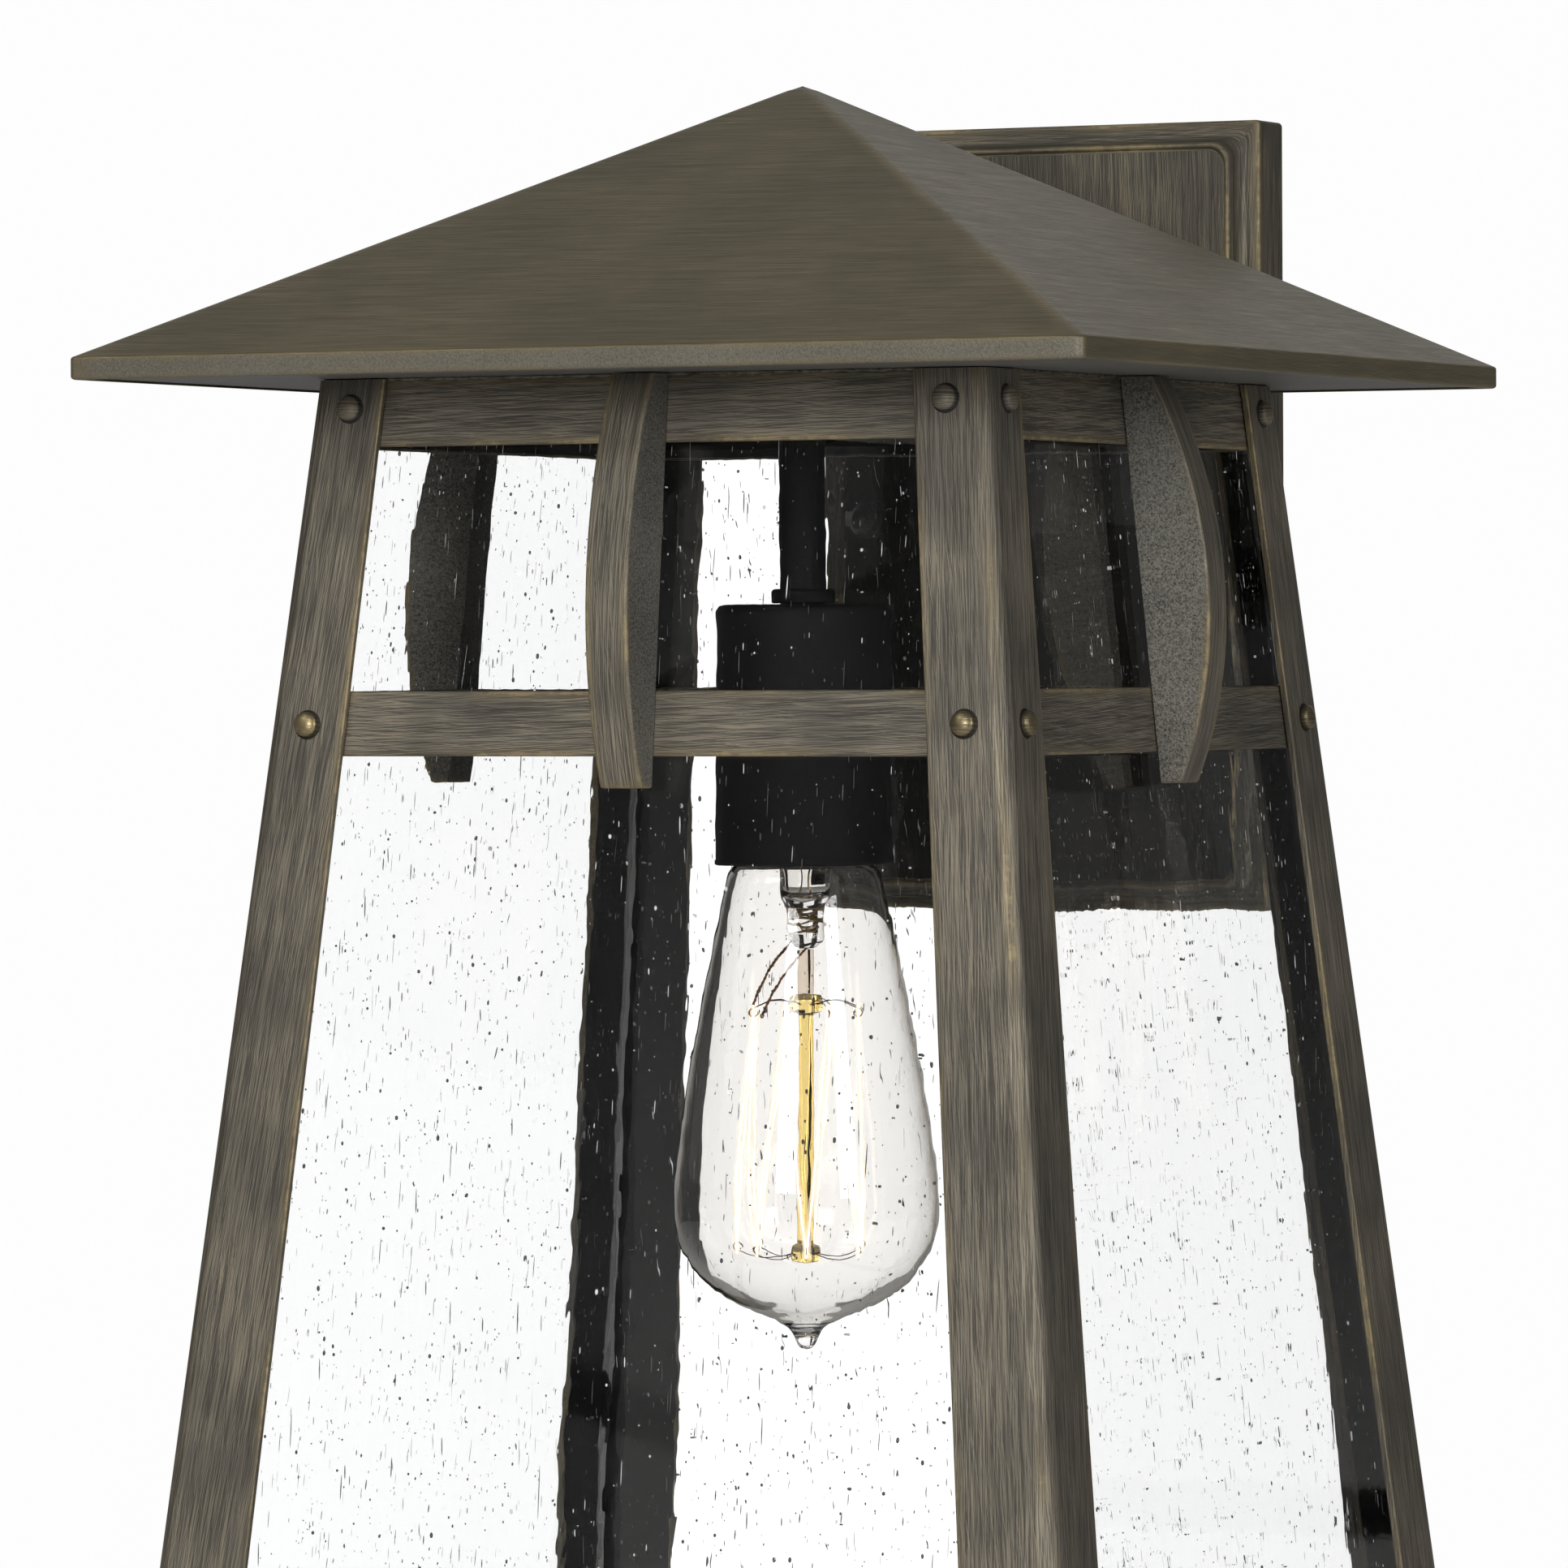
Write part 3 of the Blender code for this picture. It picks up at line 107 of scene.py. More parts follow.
# ---- grids, outlines and meshes ----
@dataclass
class Skin:
    """Gathers grids and flat caps, and writes them as one mesh.

    Every face corner carries its place along and across the brush strokes, in metres, and three
    marks: millimetres to the nearest worn edge, how far the face is left as cast, and how far it
    is painted black as painted shade.
    """

    points: list[Array] = field(default_factory=list)
    loops: list[Array] = field(default_factory=list)
    totals: list[Array] = field(default_factory=list)
    strokes: list[Array] = field(default_factory=list)
    marks: list[Array] = field(default_factory=list)
    count: int = 0

    def add_grid(
        self,
        points: Array,
        strokes: Array | None = None,
        edge: Array | None = None,
        cast: Array | float = 0.0,
        inside: Array | float = 0.0,
        wrap: bool = False,
    ) -> Array:
        """Adds a grid of quads.

        Args:
            points: rows by columns by 3.
            strokes: rows by columns by 2, with one more column when the grid wraps.
            edge: the same shape without the last axis, in metres.
            cast: one number, or one for each column of quads.
            inside: the same, or one for each quad.
            wrap: whether the last column joins the first.

        Returns:
            The numbers of the grid's points, rows by columns.
        """
        rows, columns = points.shape[:2]
        index = self.count + np.arange(rows * columns).reshape(rows, columns)
        joined = np.concatenate([index, index[:, :1]], axis=1) if wrap else index
        wide = joined.shape[1]
        if strokes is None:
            strokes = np.zeros((rows, wide, 2))
        if edge is None:
            edge = np.full((rows, wide), FAR)

        def corners(grid: Array) -> Array:
            """The grid's values at the four corners of each quad."""
            return np.stack([grid[:-1, :-1], grid[:-1, 1:], grid[1:, 1:], grid[1:, :-1]], axis=2)

        quads = corners(joined)
        count = quads.shape[0] * quads.shape[1]
        marks = np.zeros((*quads.shape, 3))
        marks[..., 0] = corners(edge) / MM
        marks[..., 1] = np.broadcast_to(np.asarray(cast, float), quads.shape[:2])[..., None]
        marks[..., 2] = np.broadcast_to(np.asarray(inside, float), quads.shape[:2])[..., None]
        self.points.append(points.reshape(-1, 3))
        self.loops.append(quads.reshape(-1))
        self.totals.append(np.full(count, 4))
        self.strokes.append(corners(strokes).reshape(-1, 2))
        self.marks.append(marks.reshape(-1, 3))
        self.count += rows * columns
        return index

    def add_cap(
        self, ring: Array, strokes: Array, edge_mm: float = 2.0, cast: float = 0.0, inside: float = 0.0
    ) -> None:
        """Closes a ring of points with one flat face.

        Args:
            ring: the numbers of the ring's points.
            strokes: their places along and across the strokes.
            edge_mm: the edge distance given to the whole face, in millimetres.
            cast: how far the face is left as cast.
            inside: how far it is painted black as painted shade.
        """
        self.loops.append(ring)
        self.totals.append(np.array([len(ring)]))
        self.strokes.append(strokes)
        self.marks.append(np.tile([edge_mm, cast, inside], (len(ring), 1)))

    def add_bar(
        self, points: Array, strokes: Array, edge: Array, outline: Outline, flat: Array, cast: float = 0.0
    ) -> None:
        """Adds an outline carried along a line, and closes both of its ends.

        Args:
            points: rows by columns by 3.
            strokes: rows by columns by 2, with one more column.
            edge: the same shape without the last axis, in metres.
            outline: gives the marks of each span.
            flat: the strokes' places on both ends.
            cast: how far both ends are left as cast.
        """
        index = self.add_grid(points, strokes, edge, outline.cast, outline.inside, wrap=True)
        for row in (index[0], index[-1]):
            self.add_cap(row, flat, cast=cast)

    def add_faces(self, points: Array, faces: Array, marks: Array) -> None:
        """Adds loose faces of one size: points by 3, faces by corners, and 3 marks for each face."""
        self.points.append(points)
        self.loops.append((faces + self.count).reshape(-1))
        self.totals.append(np.full(len(faces), faces.shape[1]))
        self.strokes.append(np.zeros((faces.size, 2)))
        self.marks.append(np.repeat(marks, faces.shape[1], axis=0))
        self.count += len(points)

    def mesh(self, name: str, merge: float, sharp: float) -> bpy.types.Mesh:
        """Writes the mesh.

        Args:
            name: the mesh's name.
            merge: points this close become one, which closes seams and poles.
            sharp: an edge that bends by more degrees than this stays sharp.

        Returns:
            The mesh, closed where its grids meet, with its faces pointing out.
        """
        loops = np.concatenate(self.loops).astype(np.int32)
        totals = np.concatenate(self.totals)
        starts = np.concatenate([[0], np.cumsum(totals)[:-1]]).astype(np.int32)
        made = bpy.data.meshes.new(name)
        made.vertices.add(self.count)
        made.vertices.foreach_set("co", np.concatenate(self.points).astype(np.float32).ravel())
        made.loops.add(len(loops))
        made.loops.foreach_set("vertex_index", loops)
        made.polygons.add(len(totals))
        made.polygons.foreach_set("loop_start", starts)
        made.update(calc_edges=True)
        strokes = made.uv_layers.new(name=STROKES)
        strokes.uv.foreach_set("vector", np.concatenate(self.strokes).astype(np.float32).ravel())
        marks = made.attributes.new(MARKS, "FLOAT_VECTOR", "CORNER")
        marks.data.foreach_set("vector", np.concatenate(self.marks).astype(np.float32).ravel())
        bm = bmesh.new()
        bm.from_mesh(made)
        if merge > 0:
            bmesh.ops.remove_doubles(bm, verts=bm.verts, dist=merge)
        bmesh.ops.recalc_face_normals(bm, faces=bm.faces)
        bm.to_mesh(made)
        bm.free()
        made.shade_smooth()
        made.set_sharp_from_angle(angle=math.radians(sharp))
        return made


@dataclass(frozen=True)
class Outline:
    """A closed outline with rounded corners.

    Attributes:
        points: its points, n by 2.
        around: running length at each point and once more at the end, n + 1.
        edge: distance to the nearest worn corner, n + 1.
        cast: one mark for each span between points, n.
        inside: one mark for each span between points, n.
    """

    points: Array
    around: Array
    edge: Array
    cast: Array
    inside: Array


def circle(steps: int) -> Array:
    """The angles of points spread evenly round a circle."""
    return np.linspace(0, 2 * math.pi, steps, endpoint=False)


def running_length(points: Array) -> Array:
    """How far along a row of points each of them lies, from 0."""
    return np.concatenate([[0], np.cumsum(np.linalg.norm(np.diff(points, axis=0), axis=1))])


def spread(values: Array, columns: int) -> Array:
    """One value for each row, repeated over columns."""
    return np.repeat(values[:, None], columns, axis=1)


def rectangle(left: float, low: float, right: float, high: float) -> list[tuple[float, float]]:
    """The corners of a rectangle in order."""
    return [(left, low), (right, low), (right, high), (left, high)]


def rounded_outline(
    corners: list[tuple[float, float]],
    radii: list[float],
    worn: list[bool],
    cast: list[float],
    inside: list[float],
    arc_steps: int = 4,
) -> Outline:
    """Rounds each corner of a polygon with an arc tangent to both of its sides.

    An arc's centre lies on the corner's bisector, radius over the sine of half the corner away, and
    the arc turns by the angle that the sides leave. Straight spans get extra points near their ends,
    so that wear and shading stay close to the corners.

    Args:
        corners: the polygon's corners in order.
        radii: the radius at each corner.
        worn: whether each corner is a proud edge that gets rubbed.
        cast: the mark of the side that starts at each corner.
        inside: the mark of the side that starts at each corner.
        arc_steps: spans in each arc.

    Returns:
        The outline.
    """
    spots = np.array(corners, float)
    count = len(spots)
    starts: list[Array] = []
    for i in range(count):
        here, before, after = spots[i], spots[i - 1], spots[(i + 1) % count]
        back = (before - here) / np.linalg.norm(before - here)
        ahead = (after - here) / np.linalg.norm(after - here)
        half = math.acos(float(np.clip(back @ ahead, -1, 1))) / 2
        bisector = (back + ahead) / np.linalg.norm(back + ahead)
        radius = radii[i]
        centre = here + bisector * radius / math.sin(half)
        first = here + back * radius / math.tan(half) - centre
        last = here + ahead * radius / math.tan(half) - centre
        sweep = math.pi - 2 * half
        share = np.linspace(0, 1, arc_steps + 1)[:, None]
        arc = (first * np.sin((1 - share) * sweep) + last * np.sin(share * sweep)) / math.sin(sweep)
        starts.append(centre + arc)
    steps = np.array([0.25, 0.7, 1.4, 2.6]) * MM
    points: list[Array] = []
    edges: list[Array] = []
    marks: list[tuple[float, float]] = []
    for i in range(count):
        arc = starts[i]
        points.append(arc)
        ridge = np.abs(np.linspace(0, 1, len(arc)) - WEAR_LINE) * radii[i] * (math.pi / 2)
        edges.append(np.where(worn[i], ridge if radii[i] > WIDE_CORNER else SMALL_WEAR, FAR + 0 * ridge))
        marks += [(cast[i] * 0.5 + cast[i - 1] * 0.5, inside[i] if not worn[i] else 0.0)] * arc_steps
        begin, end = arc[-1], starts[(i + 1) % count][0]
        length = float(np.linalg.norm(end - begin))
        near = np.minimum(steps, length * 0.45 * np.arange(1, 5) / 4)
        along = np.concatenate([near, [length / 2], length - near[::-1]])
        points.append(begin + (end - begin) * along[:, None] / length)
        following = (i + 1) % count
        lead = (1 - WEAR_LINE) * radii[i] * math.pi / 2 if radii[i] > WIDE_CORNER else SMALL_WEAR
        trail = SMALL_WEAR
        if radii[following] > WIDE_CORNER:
            trail = WEAR_LINE * radii[following] * math.pi / 2
        first_worn = along + lead if worn[i] else np.full(len(along), FAR)
        last_worn = length - along + trail if worn[following] else np.full(len(along), FAR)
        edges.append(np.minimum(first_worn, last_worn))
        marks += [(cast[i], inside[i])] * (len(along) + 1)
    loop = np.concatenate(points)
    closed = np.concatenate([loop, loop[:1]])
    around = running_length(closed)
    edge = np.concatenate(edges)
    table = np.array(marks)
    return Outline(loop, around, np.append(edge, edge[0]), table[:, 0], table[:, 1])


def rounded_square(
    half_x: float, half_y: float, radius: float, arc_steps: int, spans: int
) -> tuple[Array, Array, Array]:
    """One side of a rounded rectangle, from the middle of one corner's arc to the middle of the next.

    The side faces -Y. Its ends lie on the corners' diagonals, so four such sides close the ring.

    Args:
        half_x: half the width along this side.
        half_y: distance of this side from the middle.
        radius: the corner radius.
        arc_steps: spans in each half arc.
        spans: spans along the straight.

    Returns:
        The points (n by 2), the signed distance along the side, and the distance to the corner's arc.
    """
    turn = np.linspace(-math.pi / 4, 0, arc_steps + 1)
    centre = half_x - radius
    left = np.stack([-centre + radius * np.sin(turn), -half_y + radius - radius * np.cos(turn)], axis=1)
    share = np.linspace(-1, 1, spans + 1)
    share = np.sign(share) * np.abs(share) ** 0.6
    straight = np.stack([share * centre, np.full(spans + 1, -half_y)], axis=1)
    right = left[::-1] * [-1, 1]
    points = np.concatenate([left[:-1], straight, right[1:]])
    along = np.concatenate([-centre + radius * turn[:-1], share * centre, centre - radius * turn[::-1][1:]])
    return points, along, np.maximum(centre - np.abs(along), 0.0)


def smooth_profile(points: Array, per_span: int) -> Array:
    """A Catmull-Rom curve: in each span a cubic through both ends, steered by their neighbours."""
    known = np.concatenate([[2 * points[0] - points[1]], points, [2 * points[-1] - points[-2]]])
    before, start, end, after = known[:-3], known[1:-2], known[2:-1], known[3:]
    t = (np.arange(per_span) / per_span)[None, :, None]
    spans = 0.5 * (
        2 * start[:, None]
        + (end - before)[:, None] * t
        + (2 * before - 5 * start + 4 * end - after)[:, None] * t**2
        + (3 * start - before - 3 * end + after)[:, None] * t**3
    )
    return np.concatenate([spans.reshape(-1, points.shape[1]), points[-1:]])


def turn_about(points: Array, degrees: float, axis: Array) -> Array:
    """Turns points about the upright line through a point, counter-clockwise seen from above."""
    angle = math.radians(degrees)
    c, s = math.cos(angle), math.sin(angle)
    moved = points - axis
    x, y, z = moved[..., 0], moved[..., 1], moved[..., 2]
    return np.stack([x * c - y * s, x * s + y * c, z], -1) + axis


def lathe(skin: Skin, profile: Array, centre: Array, steps: int) -> None:
    """Adds a turned surface: each profile point (radius, height) goes once round the upright axis.

    Args:
        skin: where the grid goes.
        profile: n by 2.
        centre: the foot of the axis.
        steps: spans round the axis.
    """
    angle = circle(steps)
    radius, height = profile[:, :1], profile[:, 1:]
    ones = np.ones_like(angle)[None]
    grid = np.stack([radius * np.cos(angle), radius * np.sin(angle), height * ones], -1) + centre
    full = np.linspace(0, 2 * math.pi, steps + 1)[None]
    lengths = running_length(profile)
    strokes = np.stack(
        [full * radius.max() * np.ones_like(radius), lengths[:, None] * np.ones_like(full)], -1
    )
    skin.add_grid(grid, strokes, wrap=True)


def tube(
    skin: Skin, path: Array, radius: Array | float, sides: int, up: Triple = (0.31, 0.95, 0.07)
) -> None:
    """Adds a closed tube: a circle set square to the path at each of its points, shut at both ends.

    Args:
        skin: where the grid goes.
        path: n by 3.
        radius: one number or one for each point.
        sides: spans round the tube.
        up: a direction that the path never follows.
    """
    tangent = np.gradient(path, axis=0)
    tangent /= np.linalg.norm(tangent, axis=1, keepdims=True)
    across = np.cross(tangent, np.array(up))
    across /= np.linalg.norm(across, axis=1, keepdims=True)
    other = np.cross(tangent, across)
    angle = circle(sides)
    radii = np.broadcast_to(np.asarray(radius, float), (len(path),))
    rings = across[:, None] * np.cos(angle)[None, :, None] + other[:, None] * np.sin(angle)[None, :, None]
    grid = path[:, None] + rings * radii[:, None, None]
    ends = [np.repeat(path[:1, None], sides, axis=1), np.repeat(path[-1:, None], sides, axis=1)]
    grid = np.concatenate([ends[0], grid, ends[1]])
    lengths = np.linalg.norm(np.diff(path, axis=0), axis=1)
    along = np.concatenate([[0, 0], np.cumsum(lengths), [lengths.sum()]])[:, None]
    full = np.linspace(0, 2 * math.pi, sides + 1)[None]
    strokes = np.stack([along * np.ones_like(full), full * float(radii.max()) * np.ones_like(along)], -1)
    skin.add_grid(grid, strokes, wrap=True)


def add_to_scene(thing: bpy.types.Object) -> None:
    """Links an object to the scene."""
    bpy.context.scene.collection.objects.link(thing)


def show_turned(
    name: str, profiles: list[Array], axis: Array, steps: int, material: Material, **rest: Any
) -> None:
    """Turns each profile about the axis and shows them as one piece: the rest is as for show."""
    skin = Skin()
    for profile in profiles:
        lathe(skin, profile, axis, steps)
    show(name, skin, material, **rest)


def show(
    name: str,
    skin: Skin,
    material: Material,
    nodes: tuple[str, ...] = (),
    body: Body = Body.LANTERN,
    slot: str = "burnished_bronze",
    merge: float = 1e-7,
    sharp: float = 50.0,
) -> None:
    """Writes a skin's mesh and puts it in the scene as one piece.

    Args:
        name: the piece's name.
        skin: its surface, already in place.
        material: its finish.
        nodes: the frame's nodes that it stands for.
        body: what it rides on.
        slot: the record's material slot that the finish belongs to; not used.
        merge: points this close become one, which closes seams and poles.
        sharp: an edge that bends by more degrees than this stays sharp.
    """
    mesh = skin.mesh(name, merge, sharp)
    piece = bpy.data.objects.new(name, mesh)
    mesh.materials.append(material)
    add_to_scene(piece)
    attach(piece, body.value)
    if nodes:
        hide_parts(*nodes)
    log.info("%s: %d faces", name, len(mesh.polygons))


# ---- shader graphs ----
Socket = bpy.types.NodeSocket
Feed = Socket | float | tuple[float, ...]
FLOAT, VECTOR = "NodeSocketFloat", "NodeSocketVector"


class Graph:
    """Lays nodes in a tree and links them."""

    def __init__(self, tree: NodeTree) -> None:
        """Starts on an existing tree."""
        self.tree = tree

    def node(self, kind: str, **settings: Any) -> bpy.types.Node:
        """A new node of this kind with these settings."""
        made = self.tree.nodes.new(kind)
        for key, value in settings.items():
            setattr(made, key, value)
        return made

    def feed(self, socket: Socket, value: Feed) -> None:
        """Links a socket to another, or sets its value. A plain colour is made opaque."""
        if isinstance(value, Socket):
            self.tree.links.new(value, socket)
        elif socket.type == "RGBA":
            socket.default_value = (*value[:3], 1.0)
        else:
            socket.default_value = value

    def math(self, operation: str, a: Feed, b: Feed = 0.0, c: Feed = 0.0, clamp: bool = False) -> Socket:
        """The result of one arithmetic step."""
        made = self.node("ShaderNodeMath", operation=operation, use_clamp=clamp)
        for socket, value in zip(made.inputs, (a, b, c)):
            self.feed(socket, value)
        return made.outputs[0]

    def plus(self, a: Feed, b: Feed, clamp: bool = False) -> Socket:
        """The sum of two values."""
        return self.math("ADD", a, b, clamp=clamp)

    def less(self, a: Feed, b: Feed) -> Socket:
        """The first value less the second."""
        return self.math("SUBTRACT", a, b)

    def times(self, a: Feed, b: Feed) -> Socket:
        """The product of two values."""
        return self.math("MULTIPLY", a, b)

    def scaled(self, a: Feed, b: Feed, c: Feed, clamp: bool = False) -> Socket:
        """The product of the first two values, plus the third."""
        return self.math("MULTIPLY_ADD", a, b, c, clamp)

    def span(self, value: Feed, low: Feed, high: Feed, to_low: float = 0.0, to_high: float = 1.0) -> Socket:
        """Maps low..high smoothly to to_low..to_high, and holds it there beyond."""
        made = self.node("ShaderNodeMapRange", interpolation_type="SMOOTHSTEP", clamp=True)
        for socket, number in zip(made.inputs, (value, low, high, to_low, to_high)):
            self.feed(socket, number)
        return made.outputs[0]

    def blend(self, share: Feed, a: Feed, b: Feed, mode: str = "MIX") -> Socket:
        """A colour between two others."""
        made = self.node("ShaderNodeMix", data_type="RGBA", blend_type=mode)
        self.feed(made.inputs[0], share)
        self.feed(made.inputs[6], a)
        self.feed(made.inputs[7], b)
        return made.outputs[2]

    def noise(self, place: Feed, scale: float, detail: float = 2.0, rough: float = 0.5) -> Socket:
        """The value of a noise texture."""
        made = self.node("ShaderNodeTexNoise")
        self.feed(made.inputs["Vector"], place)
        made.inputs["Scale"].default_value = scale
        made.inputs["Detail"].default_value = detail
        made.inputs["Roughness"].default_value = rough
        return made.outputs[0]

    def parts(self, vector: Feed) -> Any:
        """The three parts of a vector."""
        made = self.node("ShaderNodeSeparateXYZ")
        self.feed(made.inputs[0], vector)
        return made.outputs

    def marks(self) -> Any:
        """The three marks that the mesh carries."""
        return self.parts(self.node("ShaderNodeAttribute", attribute_name=MARKS).outputs["Vector"])

    def slant(self, place: Feed, share: float) -> Socket:
        """Leans the strokes: adds a share of the way along to the way across."""
        along, across, depth = self.parts(place)
        joined = self.node("ShaderNodeCombineXYZ")
        for socket, value in zip(joined.inputs, (along, self.scaled(along, share, across), depth)):
            self.feed(socket, value)
        return joined.outputs[0]

    def stretch(self, place: Feed, scale: Triple, move: Feed = (0.0, 0.0, 0.0)) -> Socket:
        """A place times one scale for each axis, plus a shift."""
        made = self.node("ShaderNodeVectorMath", operation="MULTIPLY_ADD")
        self.feed(made.inputs[0], place)
        self.feed(made.inputs[1], scale)
        self.feed(made.inputs[2], move)
        return made.outputs[0]


def new_group(
    name: str, inputs: dict[str, tuple[str, Any]], outputs: dict[str, str]
) -> tuple[NodeTree, Graph, Any, Any]:
    """An empty shader group with named sockets.

    Args:
        name: the group's name.
        inputs: socket type and default value by name.
        outputs: socket type by name.

    Returns:
        The tree, a graph on it, its input node's sockets and its output node's sockets.
    """
    tree = bpy.data.node_groups.new(name, "ShaderNodeTree")
    for key, (kind, value) in inputs.items():
        socket = tree.interface.new_socket(key, in_out="INPUT", socket_type=kind)
        if value is not None:
            socket.default_value = value
    for key, kind in outputs.items():
        tree.interface.new_socket(key, in_out="OUTPUT", socket_type=kind)
    graph = Graph(tree)
    return tree, graph, graph.node("NodeGroupInput").outputs, graph.node("NodeGroupOutput").inputs


class SharedEffects:
    """The node groups that several finishes use, each built once."""

    def __init__(self) -> None:
        """Builds the groups."""
        self.brushing = self._brushing()
        self.edge_rub = self._edge_rub()
        self.casting = self._casting()

    @staticmethod
    def _brushing() -> NodeTree:
        """Fine strokes: long thin noise in three widths, a few bright hairs and scores, and broad patches."""
        inputs = {"Strokes": (VECTOR, None), "Place": (VECTOR, None)}
        outputs = {"Stroke": FLOAT, "Patch": FLOAT, "Height": FLOAT}
        tree, g, given, out = new_group("fine_brushing", inputs, outputs)
        line = given["Strokes"]
        wide = g.noise(g.stretch(g.slant(line, 0.012), (9.0, 520.0, 1.0)), 1.0, 2.0, 0.55)
        fine = g.noise(g.stretch(g.slant(line, -0.02), (22.0, 2500.0, 1.0), (7.0, 3.0, 0.0)), 1.0, 3.0, 0.75)
        hair = g.noise(g.stretch(g.slant(line, 0.05), (40.0, 4300.0, 1.0), (3.0, 9.0, 0.0)), 1.0, 2.0, 0.6)
        other = g.noise(g.stretch(g.slant(line, -0.11), (55.0, 3000.0, 1.0), (1.0, 5.0, 0.0)), 1.0, 1.0, 0.5)
        mixed = g.plus(g.times(wide, 0.12), g.times(fine, 0.38))
        mixed = g.plus(mixed, g.times(hair, 0.5))
        scratch = g.plus(g.span(hair, 0.60, 0.70, 0.0, 0.45), g.span(other, 0.62, 0.72, 0.0, 0.6))
        score = g.span(other, 0.28, 0.36, 0.5, 0.0)
        marked = g.plus(g.span(mixed, 0.40, 0.61), g.less(scratch, score), clamp=True)
        g.feed(out["Stroke"], marked)
        cloud = g.noise(given["Place"], 30.0, 3.0, 0.55)
        g.feed(out["Patch"], g.span(cloud, 0.25, 0.75))
        g.feed(out["Height"], mixed)
        return tree

    @staticmethod
    def _edge_rub() -> NodeTree:
        """How far the finish is rubbed away near an edge, with a ragged limit."""
        inputs = {
            "Edge": (FLOAT, 10.0),
            "Place": (VECTOR, None),
            "Reach": (FLOAT, 1.0),
        }
        outputs = {"Rub": FLOAT, "Soft": FLOAT}
        tree, g, given, out = new_group("rubbed_edges", inputs, outputs)
        ragged = g.noise(given["Place"], 260.0, 3.0, 0.65)
        broad = g.noise(given["Place"], 28.0, 1.0)
        limit = g.times(g.span(ragged, 0.3, 0.75, 0.2, 1.2), g.span(broad, 0.38, 0.66, 0.35, 1.25))
        limit = g.times(limit, given["Reach"])
        g.feed(out["Rub"], g.span(g.less(limit, given["Edge"]), -0.15, 0.45))
        faded = g.times(g.span(given["Edge"], 0.0, 2.8, 1.0, 0.0), g.span(broad, 0.35, 0.6, 0.25, 1.0))
        g.feed(out["Soft"], faded)
        return tree

    @staticmethod
    def _casting() -> NodeTree:
        """The grainy skin of a casting: two sizes of grain."""
        tree, g, given, out = new_group(
            "cast_grain",
            {"Place": (VECTOR, None)},
            {"Grain": FLOAT, "Height": FLOAT},
        )
        coarse = g.noise(given["Place"], 1900.0, 2.0, 0.6)
        fine = g.noise(given["Place"], 4200.0, 1.0, 0.5)
        broad = g.noise(given["Place"], 24.0, 1.0)
        grain = g.plus(g.times(coarse, 0.55), g.times(fine, 0.45))
        tone = g.scaled(g.less(broad, 0.5), 0.9, g.span(grain, 0.30, 0.66), clamp=True)
        g.feed(out["Grain"], tone)
        g.feed(out["Height"], grain)
        return tree


class Finish:
    """A material with a Principled shader and the places that its patterns read."""

    def __init__(self, name: str) -> None:
        """Makes the material."""
        self.material = bpy.data.materials.new(name)
        self.material.use_nodes = True
        self.graph = Graph(self.material.node_tree)
        self.shader = self.material.node_tree.nodes["Principled BSDF"]
        self.place = self.graph.node("ShaderNodeTexCoord").outputs["Object"]

    def set(self, **values: Any) -> None:
        """Sets plain numbers and colours on the shader: underscores stand for spaces."""
        for key, value in values.items():
            self.shader.inputs[key.replace("_", " ")].default_value = value

    def link(self, name: str, value: Socket) -> None:
        """Feeds one of the shader's sockets."""
        self.graph.feed(self.shader.inputs[name], value)

    def use(self, tree: NodeTree, **values: Feed) -> Any:
        """Places a shared group and feeds its inputs. Returns its outputs."""
        made = self.graph.node("ShaderNodeGroup", node_tree=tree)
        for key, value in values.items():
            self.graph.feed(made.inputs[key], value)
        return made.outputs

    def bump(self, height: Socket, strength: float, distance: float) -> None:
        """Raises the surface by a height."""
        made = self.graph.node("ShaderNodeBump")
        made.inputs["Strength"].default_value = strength
        made.inputs["Distance"].default_value = distance
        self.graph.feed(made.inputs["Height"], height)
        self.link("Normal", made.outputs["Normal"])


